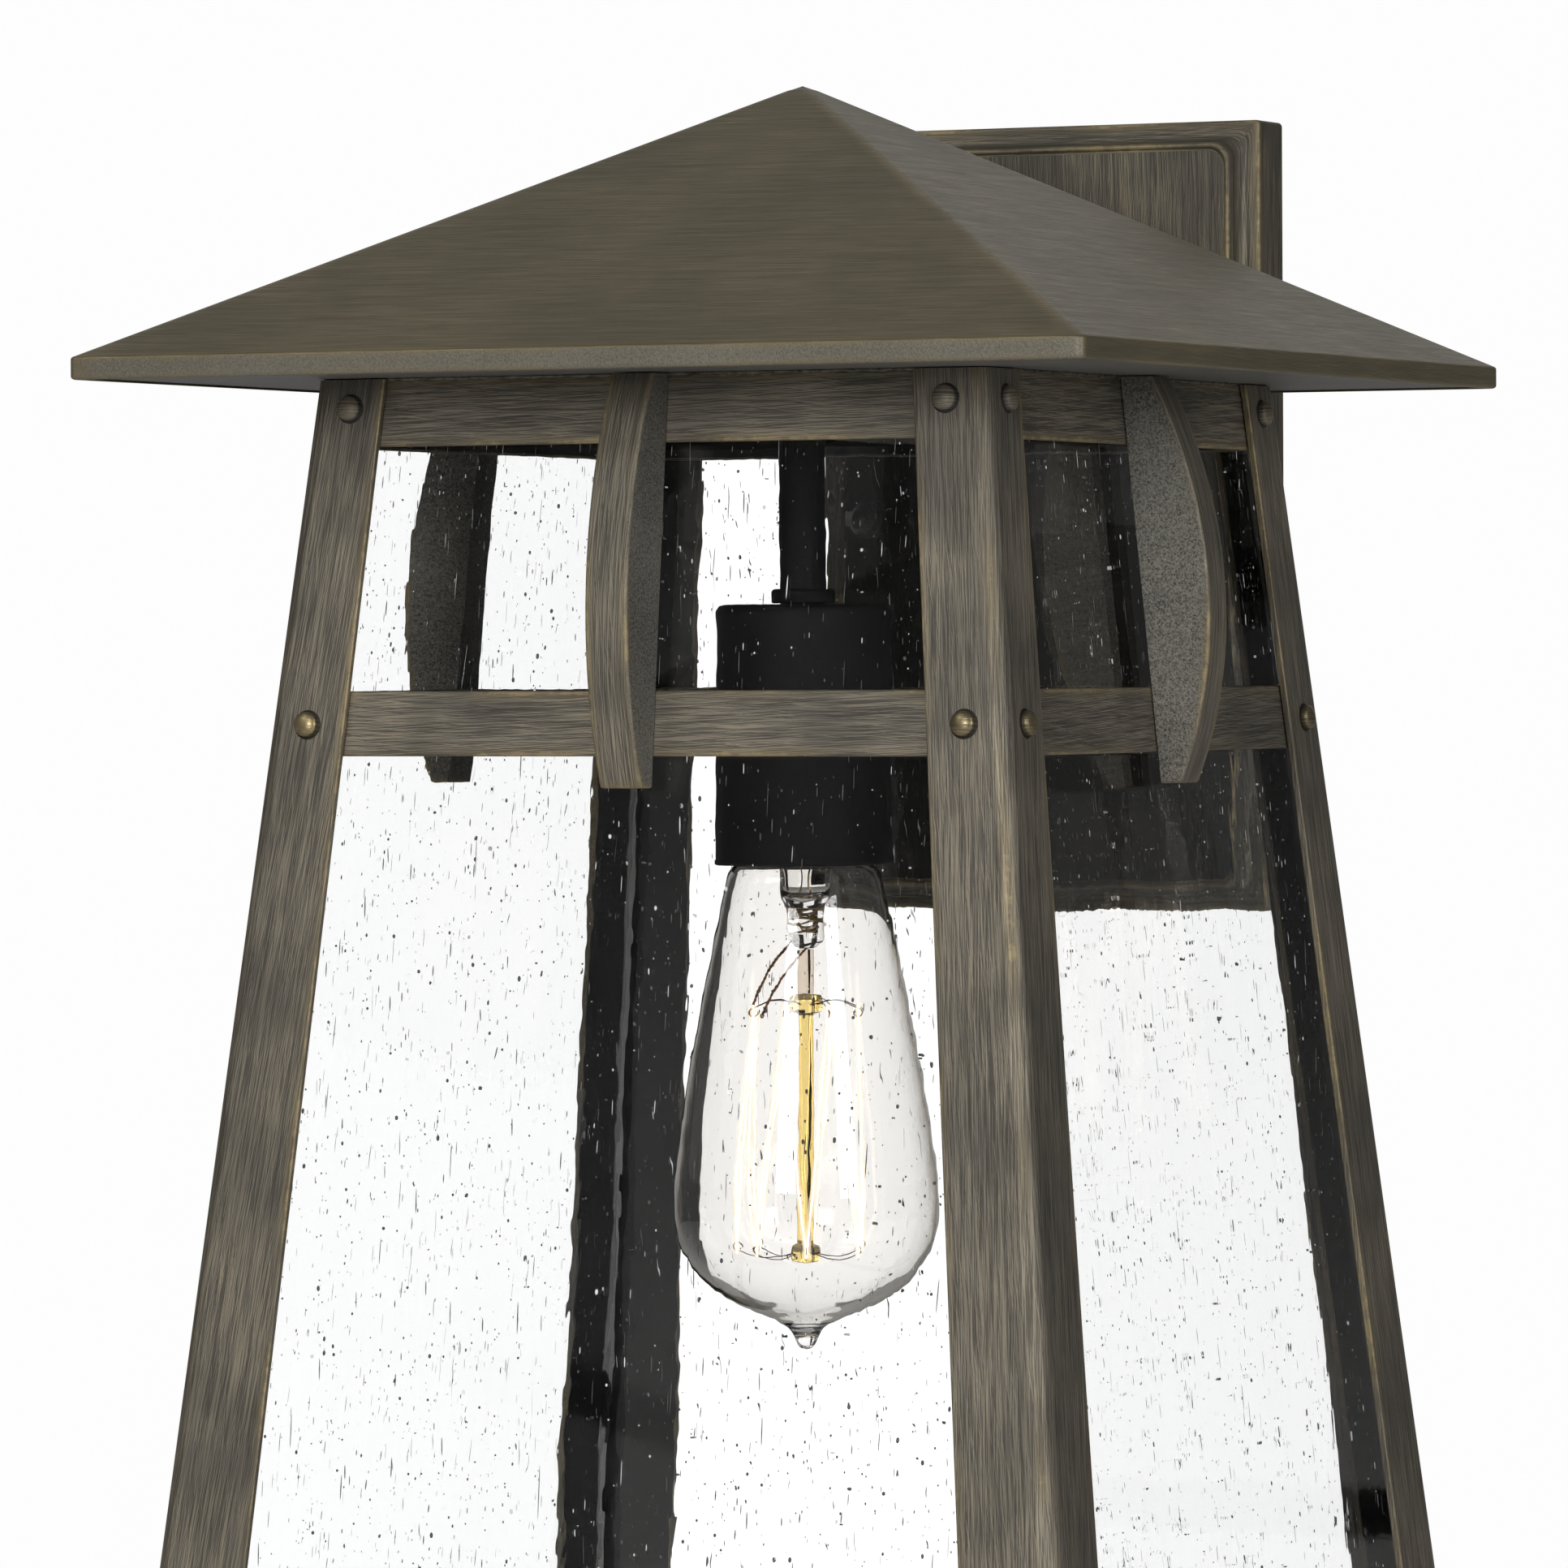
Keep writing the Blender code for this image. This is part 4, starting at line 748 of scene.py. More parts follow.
@dataclass(frozen=True)
class BronzeTone:
    """One tone of the burnished finish.

    Attributes:
        name: the material's name.
        dark: colour in the hollows of the strokes.
        middle: colour of the body of the finish.
        light: colour on the tops of the strokes.
        gold: colour where it is rubbed through.
        cast_dark: colour in the pits of the cast faces.
        cast_light: colour on the grains of the cast faces.
        reach: how far the rubbed band comes in from an edge, in millimetres.
        contrast: how strongly the strokes show.
        gilding: how much gold shows in the strokes.
        softness: how much of the wide warm band shows beside an edge.
        rubbing: how much gold shows on the edge itself.
        roughness: its middle roughness.
        metallic: how metallic it is.
        marked: whether the mesh carries strokes and marks, or the pattern lies on the place alone.
    """

    name: str
    dark: Triple
    middle: Triple
    light: Triple
    gold: Triple
    cast_dark: Triple = (0.055, 0.052, 0.047)
    cast_light: Triple = (0.24, 0.23, 0.21)
    reach: float = 0.8
    contrast: float = 1.0
    gilding: float = 0.35
    softness: float = 0.45
    rubbing: float = 0.48
    roughness: float = 0.52
    metallic: float = 0.4
    marked: bool = True

    def build(self, effects: SharedEffects) -> Material:
        """Builds the material: strokes over a dark ground, grain on cast faces, gold on the edges."""
        finish = Finish(self.name)
        g = finish.graph
        if self.marked:
            strokes = g.node("ShaderNodeUVMap", uv_map=STROKES).outputs[0]
            edge, cast, inside = g.marks()
        else:
            strokes, edge, cast, inside = finish.place, 20.0, 0.0, 0.0
        brushed = finish.use(effects.brushing, Strokes=strokes, Place=finish.place)
        grain = finish.use(effects.casting, Place=finish.place)
        rubbed = finish.use(effects.edge_rub, Edge=edge, Place=finish.place, Reach=self.reach)

        stroke = g.scaled(g.less(brushed["Stroke"], 0.5), self.contrast, 0.5, clamp=True)
        ground = g.blend(brushed["Patch"], self.dark, self.middle)
        ground = g.blend(0.55, ground, self.middle)
        lit = g.blend(g.span(brushed["Patch"], 0.0, 1.0, 0.35, 0.8), self.middle, self.light)
        brushed_color = g.blend(stroke, ground, lit)
        tops = g.times(g.span(brushed["Stroke"], 0.55, 0.95), self.gilding)
        brushed_color = g.blend(g.times(tops, brushed["Patch"]), brushed_color, self.gold)
        cast_color = g.blend(grain["Grain"], self.cast_dark, self.cast_light)
        color = g.blend(cast, brushed_color, cast_color)
        worn = tuple(0.55 * part for part in self.gold)
        color = g.blend(g.times(rubbed["Soft"], self.softness), color, worn)
        color = g.blend(g.times(rubbed["Rub"], self.rubbing), color, self.gold)
        # Painted shade: faces marked as inside are blended to black.
        color = g.blend(inside, color, PAINTED_SHADE_BLACK)
        finish.link("Base Color", color)
        rough = g.scaled(g.less(0.5, brushed["Stroke"]), 0.12, self.roughness)
        rough = g.scaled(cast, 0.12, rough)
        finish.link("Roughness", g.scaled(inside, 0.25, rough))
        finish.set(Metallic=self.metallic, Specular_IOR_Level=0.35)
        height = g.times(brushed["Height"], g.less(1.0, cast))
        height = g.scaled(g.times(grain["Height"], cast), 1.6, height)
        height = g.times(height, g.less(1.0, inside))
        finish.bump(height, 0.5, 0.00016)
        return finish.material


@dataclass(frozen=True)
class PlainCoat:
    """A plain coat or bare metal with fine mottling, dust and a little bump.

    Attributes:
        name: the material's name.
        low: colour where the mottling is darkest.
        high: colour where it is lightest.
        roughness: middle roughness.
        metallic: how metallic it is.
        grain: scale of the mottling.
        bump: height of the grain, in metres.
        coat: clear coat over it.
        specular: strength of its plain gloss.
    """

    name: str
    low: Triple
    high: Triple
    roughness: float = 0.5
    metallic: float = 0.0
    grain: float = 700.0
    bump: float = 0.00005
    coat: float = 0.0
    specular: float = 0.5

    def build(self) -> Material:
        """Builds the material: grain and broad mottling between the two colours."""
        finish = Finish(self.name)
        g = finish.graph
        fine = g.noise(finish.place, self.grain, 3.0, 0.6)
        broad = g.noise(finish.place, 40.0, 2.0)
        share = g.scaled(broad, 0.45, g.times(fine, 0.55))
        finish.link("Base Color", g.blend(g.span(share, 0.35, 0.65), self.low, self.high))
        finish.link("Roughness", g.scaled(g.less(share, 0.5), 0.25, self.roughness))
        finish.set(Metallic=self.metallic, Coat_Weight=self.coat, Specular_IOR_Level=self.specular)
        finish.bump(fine, 0.4, self.bump)
        return finish.material


@dataclass(frozen=True)
class ClearGlass:
    """Glass with a plain tint and slow waves in its faces.

    Attributes:
        name: the material's name.
        tint: what one thickness lets through.
        rim: what it lets through where it is seen edge on, if that differs.
        wave: height of the waves, in metres.
        wave_scale: how close they lie, across and up.
    """

    name: str
    tint: Triple
    rim: Triple | None = None
    wave: float = 0.0
    wave_scale: Triple = (170.0, 170.0, 50.0)

    def build(self) -> Material:
        """Builds the material: the tint gives way to the rim's where the glass is seen edge on."""
        finish = Finish(self.name)
        finish.set(Base_Color=(*self.tint, 1.0), Roughness=0.0, Transmission_Weight=1.0, IOR=1.45)
        g = finish.graph
        if self.rim:
            facing = g.node("ShaderNodeLayerWeight").outputs["Facing"]
            finish.link("Base Color", g.blend(g.span(facing, 0.62, 0.97), self.tint, self.rim))
        if self.wave > 0:
            ripple = g.noise(g.stretch(finish.place, self.wave_scale), 1.0, 2.0, 0.55)
            finish.bump(ripple, 1.0, self.wave)
        return finish.material


@dataclass(frozen=True)
class SeedMarks:
    """The trapped air in the glass, half of it with a painted highlight and glow, half of it painted dark as
    in shade.
    """

    name: str = "glass_seeds"

    def build(self) -> Material:
        """Builds the material: the first mark of each seed says whether it gets the painted highlight."""
        finish = Finish(self.name)
        g = finish.graph
        bright = g.marks()[0]
        finish.link("Base Color", g.blend(bright, (0.012, 0.012, 0.012), (0.6, 0.6, 0.6)))
        # A painted glint at grazing angles and a painted glow on the bright seeds, given by emission.
        facing = g.node("ShaderNodeLayerWeight").outputs["Facing"]
        glint = g.span(facing, 0.05, 0.40, 0.9, 0.0)
        lit = g.plus(g.times(bright, 0.45), g.times(glint, 0.16), clamp=True)
        finish.link("Emission Color", g.blend(lit, (0.0, 0.0, 0.0), (1.0, 1.0, 1.0)))
        finish.set(Roughness=0.25, Emission_Strength=0.7)
        return finish.material


@dataclass(frozen=True)
class Glow:
    """A lit filament, or the halo round it.

    Attributes:
        name: the material's name.
        color: the light's colour.
        strength: how bright it is.
        alpha: how solid it looks.
    """

    name: str
    color: Triple
    strength: float
    alpha: float = 1.0

    def build(self) -> Material:
        """Builds the material, its light stronger and weaker along the wire."""
        finish = Finish(self.name)
        g = finish.graph
        flicker = g.noise(finish.place, 120.0, 2.0)
        dim = tuple(part * 0.75 for part in self.color)
        lit = g.blend(g.span(flicker, 0.3, 0.7), dim, self.color)
        finish.link("Emission Color", lit)
        finish.link("Base Color", lit)
        finish.set(Emission_Strength=self.strength, Alpha=self.alpha, Roughness=0.6)
        return finish.material


class Palette:
    """Every finish of the lantern, built once."""

    def __init__(self) -> None:
        """Builds all the materials."""
        effects = SharedEffects()

        def coat(name: str, low: Triple, high: Triple, **values: float) -> Material:
            """The material of a plain coat."""
            return PlainCoat(name, low, high, **values).build()

        dark, gold = (0.020, 0.019, 0.016), (0.34, 0.265, 0.135)
        self.member = BronzeTone(
            "brushed_bronze", dark, (0.074, 0.067, 0.055), (0.27, 0.245, 0.20), gold,
            cast_dark=(0.028, 0.026, 0.020), cast_light=(0.21, 0.20, 0.175), reach=0.8, contrast=1.45,
        ).build(effects)
        self.roof = BronzeTone(
            "roof_bronze", (0.060, 0.048, 0.022), (0.092, 0.076, 0.038), (0.150, 0.126, 0.070), gold,
            cast_dark=(0.085, 0.08, 0.068), cast_light=(0.165, 0.155, 0.13),
            reach=0.25, contrast=0.9, gilding=0.2, softness=0.35, rubbing=0.12, roughness=0.40, metallic=0.4,
        ).build(effects)
        self.plate = BronzeTone(
            "plate_bronze", (0.014, 0.013, 0.010), (0.062, 0.057, 0.046), (0.19, 0.175, 0.14), gold,
            reach=0.8, contrast=1.0, gilding=0.4,
        ).build(effects)
        # The mid rivets' brighter golden tone is partly wear and partly painted light: they are lit, where
        # the top rivets lie in the roof's shade.
        self.rivet = BronzeTone(
            "rubbed_and_lit_bronze", (0.03, 0.026, 0.016), (0.10, 0.084, 0.05), (0.26, 0.22, 0.14),
            (0.34, 0.27, 0.14),
            reach=1.2, contrast=0.8, gilding=0.6, roughness=0.36, metallic=0.7,
        ).build(effects)
        self.soffit = BronzeTone(
            "soffit_bronze", (0.12, 0.112, 0.10), (0.15, 0.142, 0.13), (0.18, 0.172, 0.16), gold,
            reach=0.2, contrast=0.3, gilding=0.0, marked=False,
        ).build(effects)
        self.cap = coat(
            "painted_cap", (0.018, 0.016, 0.013), (0.07, 0.063, 0.05),
            roughness=0.42, metallic=0.5, grain=500.0, bump=0.00008,
        )
        self.weld = coat(
            "weld_bead", (0.03, 0.027, 0.022), (0.14, 0.125, 0.10), metallic=0.5, grain=500.0, bump=0.0003,
        )
        self.black = coat("satin_black", (0.005,) * 3, (0.011,) * 3, roughness=0.62, specular=0.28)
        self.pane = ClearGlass("seeded_glass", (0.935, 0.937, 0.937), wave=0.00003).build()
        self.seeds = SeedMarks().build()
        self.bulb_glass = ClearGlass("bulb_glass", (0.966, 0.952, 0.935), rim=(0.86, 0.74, 0.52)).build()
        self.stem_glass = ClearGlass("stem_glass", (0.98, 0.972, 0.96), rim=(0.62, 0.50, 0.38)).build()
        self.clear_rod = ClearGlass("rod_glass", (0.84, 0.74, 0.63), rim=(0.42, 0.24, 0.11)).build()
        self.amber = ClearGlass("amber_glass", (0.97, 0.76, 0.30), rim=(0.75, 0.42, 0.06)).build()
        self.press = coat(
            "press_metal", (0.20, 0.10, 0.015), (0.95, 0.66, 0.22),
            roughness=0.3, metallic=0.35, grain=900.0, bump=0.0004, coat=0.6,
        )
        self.filament = Glow("lit_filament", (1.0, 0.95, 0.86), 3.0).build()
        self.halo = Glow("filament_halo", (1.0, 0.83, 0.64), 1.0, 0.3).build()
        self.hook_wire = coat(
            "support_wire", (0.03, 0.022, 0.018), (0.12, 0.085, 0.06), roughness=0.35, metallic=0.8,
        )
        self.lead_wire = coat(
            "lead_wire", (0.10, 0.035, 0.01), (0.45, 0.20, 0.06), roughness=0.4, metallic=0.4,
        )
        self.copper = coat(
            "copper_wire", (0.22, 0.09, 0.035), (0.42, 0.20, 0.08), roughness=0.35, metallic=0.9,
        )
        self.brass = coat(
            "plain_brass", (0.42, 0.29, 0.11), (0.62, 0.45, 0.20), roughness=0.33, metallic=1.0,
        )
        self.nickel = coat(
            "nickel_plate", (0.48, 0.46, 0.42), (0.66, 0.64, 0.60), roughness=0.25, metallic=1.0,
        )
        self.steel = coat(
            "zinc_plate", (0.36, 0.36, 0.34), (0.56, 0.56, 0.54), roughness=0.38, metallic=0.9,
        )
        self.porcelain = coat(
            "glazed_porcelain", (0.72, 0.70, 0.65), (0.82, 0.80, 0.76),
            roughness=0.2, grain=300.0, bump=0.00002, coat=0.5,
        )
        self.rubber = coat(
            "foam_rubber", (0.015,) * 3, (0.035,) * 3, roughness=0.9, grain=1500.0, bump=0.0002,
        )
        self.white_lead = coat("white_insulation", (0.62, 0.62, 0.59), (0.74, 0.74, 0.71), roughness=0.45)
        self.floor = coat("pale_floor", (0.86,) * 3, (0.88,) * 3, roughness=0.8, grain=20.0, bump=0.0)


# ---- the lantern's body ----
@dataclass(frozen=True)
class BodyShape:
    """The flared square body that legs, rails, panes and brackets follow."""

    axis: Array
    top_half: float = 86.6 * MM
    flare: float = 0.104
    top_depth: float = -0.2 * MM
    height: float = 358.0 * MM

    @classmethod
    def from_frame(cls) -> BodyShape:
        """Takes the axis from the stem and the eave from the roof."""
        low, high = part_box("stem_tube")
        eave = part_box("roof_cover")[0].z
        return cls(np.array([0.0, (low.y + high.y) / 2, eave]))

    def half(self, depth: Array | float) -> Array | float:
        """Half the width across the legs at a depth: the flare adds a fixed share of the depth."""
        return self.top_half + self.flare * depth

    def place(self, across: Array, out: Array, depth: Array, side: Side) -> Array:
        """Places points given along a side, out from the legs' outer faces, and down from the eave."""
        across, out, depth = np.broadcast_arrays(across, out, depth)
        points = np.stack([across, -(self.half(depth) + out), -depth], -1) + self.axis
        return turn_about(points, side.value, self.axis)


@dataclass(frozen=True)
class Legs:
    """Four angle legs whose flanges widen towards the feet."""

    shape: BodyShape
    flange: float = 18.6 * MM
    growth: float = 0.02
    thickness: float = 1.7 * MM
    corner: float = 4.0 * MM
    rows: int = 24

    def outline(self, depth: float) -> Outline:
        """The angle section of the front right leg at a depth, seen from above."""
        half = float(self.shape.half(depth))
        flange = self.flange + self.growth * depth
        wall = self.thickness
        corners = [
            (half - flange, -half), (half, -half), (half, -half + flange),
            (half - wall, -half + flange), (half - wall, -half + wall), (half - flange, -half + wall),
        ]
        fine = 0.35 * MM
        radii = [fine, self.corner, fine, fine, self.corner - wall, fine]
        worn = [True, True, True, True, False, True]
        # The two inner faces are painted black as painted shade.
        return rounded_outline(corners, radii, worn, [0.0] * 6, [0.0, 0.0, 0.0, 1.0, 1.0, 0.0], 5)

    def build(self, palette: Palette) -> None:
        """Carries the section down the leg, row by row, between its top and its foot."""
        top, foot = self.outline(self.shape.top_depth), self.outline(self.shape.height)
        share = np.linspace(0, 1, self.rows)[:, None]
        depth = self.shape.top_depth + (self.shape.height - self.shape.top_depth) * share
        flat = top.points[None] * (1 - share[..., None]) + foot.points[None] * share[..., None]
        around = top.around[None] * (1 - share) + foot.around[None] * share
        edge = top.edge[None] * (1 - share) + foot.edge[None] * share
        edge = np.minimum(edge, self.shape.height - depth)
        points = np.concatenate(
            [flat, np.repeat(-depth[..., None], flat.shape[1], axis=1)], -1
        ) + self.shape.axis
        strokes = np.stack([np.repeat(depth, around.shape[1], axis=1), around], -1)
        names = ("front_right", "back_right", "back_left", "front_left")
        for number, (name, side) in enumerate(zip(names, Side)):
            skin = Skin()
            moved = turn_about(points, side.value, self.shape.axis)
            skin.add_bar(moved, strokes + number * 0.4, edge, top, flat[0])
            show("angle_leg_" + name, skin, palette.member, ("leg_" + name,))


@dataclass(frozen=True)
class Rails:
    """Three tiers of flat rails behind the legs' flanges."""

    shape: BodyShape
    recess: float = 2.0 * MM
    thickness: float = 3.0 * MM
    edge: float = 0.6 * MM
    corner_inset: float = 4.0 * MM
    butt_inset: float = 5.3 * MM
    top_height: float = 15.7 * MM
    mid_top: float = 73.0 * MM
    mid_height: float = 15.2 * MM
    foot_height: float = 15.2 * MM

    def build(self, palette: Palette) -> None:
        """Builds each rail as a rounded bar whose ends follow the lean of the legs."""
        tiers = {
            "top_rail": (self.shape.top_depth, self.top_height),
            "mid_rail": (self.mid_top, self.mid_top + self.mid_height),
            "bottom_rail": (self.shape.height - self.foot_height, self.shape.height),
        }
        for number, (tier, (top, foot)) in enumerate(tiers.items()):
            for side in Side:
                self.rail(tier + "_" + side.label, side, top, foot, number, palette)

    def rail(self, node: str, side: Side, top: float, foot: float, number: int, palette: Palette) -> None:
        """One rail: its section in the out and down directions, carried along the side.

        Args:
            node: the frame's node that it stands for.
            side: the side it lies on.
            top: depth of its upper edge.
            foot: depth of its lower edge.
            number: which tier it is in, which shifts its strokes.
            palette: the finishes.
        """
        front, back = -self.recess, -self.recess - self.thickness
        # The back face is painted black as painted shade.
        outline = rounded_outline(
            [(front, top), (front, foot), (back, foot), (back, top)],
            [self.edge] * 4, [True] * 4, [0.0] * 4, [0.0, 0.0, 1.0, 0.0],
        )
        inset = self.butt_inset if side in (Side.LEFT, Side.RIGHT) else self.corner_inset
        out, depth = outline.points[:, 0][None], outline.points[:, 1][None]
        share = np.linspace(-1, 1, 25)[:, None]
        across = share * (self.shape.half(depth) - inset)
        points = self.shape.place(across, out, depth, side)
        run = share * float(self.shape.half(foot)) + side.value + number * 2.0
        strokes = np.stack(np.broadcast_arrays(run, outline.around[None]), -1)
        worn = np.repeat(outline.edge[None], len(share), axis=0)
        skin = Skin()
        skin.add_bar(points, strokes, worn, outline, outline.points)
        show("flat_" + node, skin, palette.member, (node,))


@dataclass(frozen=True)
class Brackets:
    """The bowed brackets on the front and the two sides: brushed in front, as cast on their cheeks."""

    shape: BodyShape
    width: float = 10.8 * MM
    height: float = 95.5 * MM
    root: float = -1.7 * MM
    stands: Triple = (8.0 * MM, 17.2 * MM, 5.1 * MM)
    belly: float = 42.0 * MM
    toe: float = 0.55 * MM
    rounding: float = 0.6 * MM
    back_rounding: float = 0.1 * MM
    rows: int = 72

    def stand(self, depth: Array) -> Array:
        """How far the bow stands out at a depth: the circle through its top, belly and toe.

        The circle's centre is where the bisectors of its two chords cross.
        """
        spots = np.array([[self.shape.top_depth, self.belly, self.height], self.stands]).T
        matrix = 2 * (spots[1:] - spots[:1])
        right = (spots[1:] ** 2).sum(1) - (spots[0] ** 2).sum()
        centre = np.linalg.solve(matrix, right)
        radius = float(np.linalg.norm(spots[0] - centre))
        return centre[1] + np.sqrt(np.maximum(radius**2 - (depth - centre[0]) ** 2, 0.0))

    def build(self, palette: Palette) -> None:
        """Carries a rectangle down the bow, its toe rounded over in the last rows."""
        depth = np.linspace(self.shape.top_depth, self.height, self.rows)
        toe = self.toe * np.array([1.0, 0.25 / 0.55, 0.08 / 0.55, 0.0])
        depth = np.sort(np.concatenate([depth[:-1], self.height - toe]))
        stand = self.stand(depth)
        left = np.maximum(self.toe - (self.height - depth), 0.0)
        bite = self.toe - np.sqrt(np.maximum((self.toe) ** 2 - left**2, 0.0))
        half = self.width / 2
        radii = [self.back_rounding, self.rounding, self.rounding, self.back_rounding]
        outlines = [
            rounded_outline(
                [(-half + b, 0.0), (-half + b, s - b), (half - b, s - b), (half - b, 0.0)],
                radii, [False, True, True, False], [1.0, 0.0, 1.0, 1.0], [0.0] * 4,
            )
            for s, b in zip(stand, bite)
        ]
        flat = np.stack([o.points for o in outlines])
        edge = np.minimum(np.stack([o.edge for o in outlines]), (self.height - depth)[:, None])
        for number, side in enumerate((Side.FRONT, Side.RIGHT, Side.LEFT)):
            points = self.shape.place(flat[..., 0], self.root + flat[..., 1], depth[:, None], side)
            run = np.repeat(depth[:, None] + 3.0 + number, edge.shape[1], axis=1)
            across = np.concatenate([flat[..., 0], flat[:, :1, 0]], axis=1) + number * 0.1
            skin = Skin()
            skin.add_bar(points, np.stack([run, across], -1), edge, outlines[0], flat[0], cast=1.0)
            name = "bracket_" + side.label
            show("bowed_" + name, skin, palette.member, (name,))


@dataclass(frozen=True)
class Rivets:
    """Domed rivets through the flanges, each in a narrow groove darkened with painted shade."""

    shape: BodyShape
    radius: float = 2.9 * MM
    stand: float = 2.5 * MM
    inset: float = 10.6 * MM
    depths: tuple[float, float] = (6.7 * MM, 80.8 * MM)

    def build(self, palette: Palette) -> None:
        """Places two tiers of rivets on both flanges of every leg."""
        kept = {
            ("front", -1): "front_left", ("front", 1): "front_right",
            ("right", -1): "right_front", ("right", 1): "right_back",
        }
        for tier, depth in zip(("top", "mid"), self.depths):
            for side in Side:
                for hand in (-1, 1):
                    place = kept.get((side.label, hand))
                    nodes = (f"rivet_{tier}_{place}",) if place else ()
                    where = f"{side.label}_{'left' if hand < 0 else 'right'}"
                    # The mid tier is rubbed more and gets the brighter finish: partly wear, partly painted
                    # light.
                    skin = self.rivet(side, hand, depth, 0.15 if tier == "mid" else 1.0)
                    finish = palette.rivet if tier == "mid" else palette.member
                    show(f"{tier}_rivet_{where}", skin, finish, nodes, merge=1e-6)

    def rivet(self, side: Side, hand: int, depth: float, wear_and_light: float) -> Skin:
        """One rivet: a profile (radius, height off the flange) turned about the flange's normal.

        Args:
            side: the side it lies on.
            hand: -1 for its left-hand flange, 1 for its right-hand one.
            depth: below the eave.
            wear_and_light: the dome's distance to a worn edge, in millimetres; smaller on the mid tier, whose
                stronger rub is partly painted light.

        Returns:
            The rivet's surface.
        """
        r, s = self.radius, self.stand
        angle = np.linspace(math.pi / 2, 0.35, 9)
        dome = np.stack([r * np.cos(angle) / math.cos(0.35), s * (0.35 + 0.65 * np.sin(angle))], 1)
        dome[-1, 0] = r
        skirt = np.array(
            [
                [r, 0.3 * s], [r * 0.99, 0.12 * s], [r * 1.12, 0.05 * s], [r * 1.2, 0.02 * s],
                [r * 1.2, -0.1 * s]
            ]
        )
        profile = np.concatenate([dome, skirt])
        edge = np.concatenate([np.linspace(wear_and_light, wear_and_light + 0.6, len(dome)), np.full(len(skirt), 9.0)]) * MM
        # Painted shade: the groove round the dome and the face under the flange go black.
        inside = np.concatenate([np.zeros(len(dome)), [0.2, 0.9, 0.9, 0.7]])
        turn = circle(28)
        lean = math.atan(self.shape.flare)
        across = profile[:, :1] * np.cos(turn)
        rise = profile[:, :1] * np.sin(turn)
        height = profile[:, 1:] + 0 * turn[None]
        spot = hand * (float(self.shape.half(depth)) - self.inset)
        out = height / math.cos(lean)
        points = self.shape.place(spot + across, out, depth - rise - height * math.sin(lean), side)
        skin = Skin()
        full = np.append(turn, 2 * math.pi)[None]
        strokes = np.stack([profile[:, :1] * np.cos(full) + depth, profile[:, :1] * np.sin(full)], -1)
        worn = spread(edge, full.size)
        index = np.zeros(0)
        for row in range(len(profile) - 1):
            pair = points[row : row + 2]
            index = skin.add_grid(
                pair, strokes[row : row + 2], worn[row : row + 2], inside=inside[row], wrap=True
            )
        skin.add_cap(index[-1], strokes[-1, :-1], inside=1.0)
        return skin


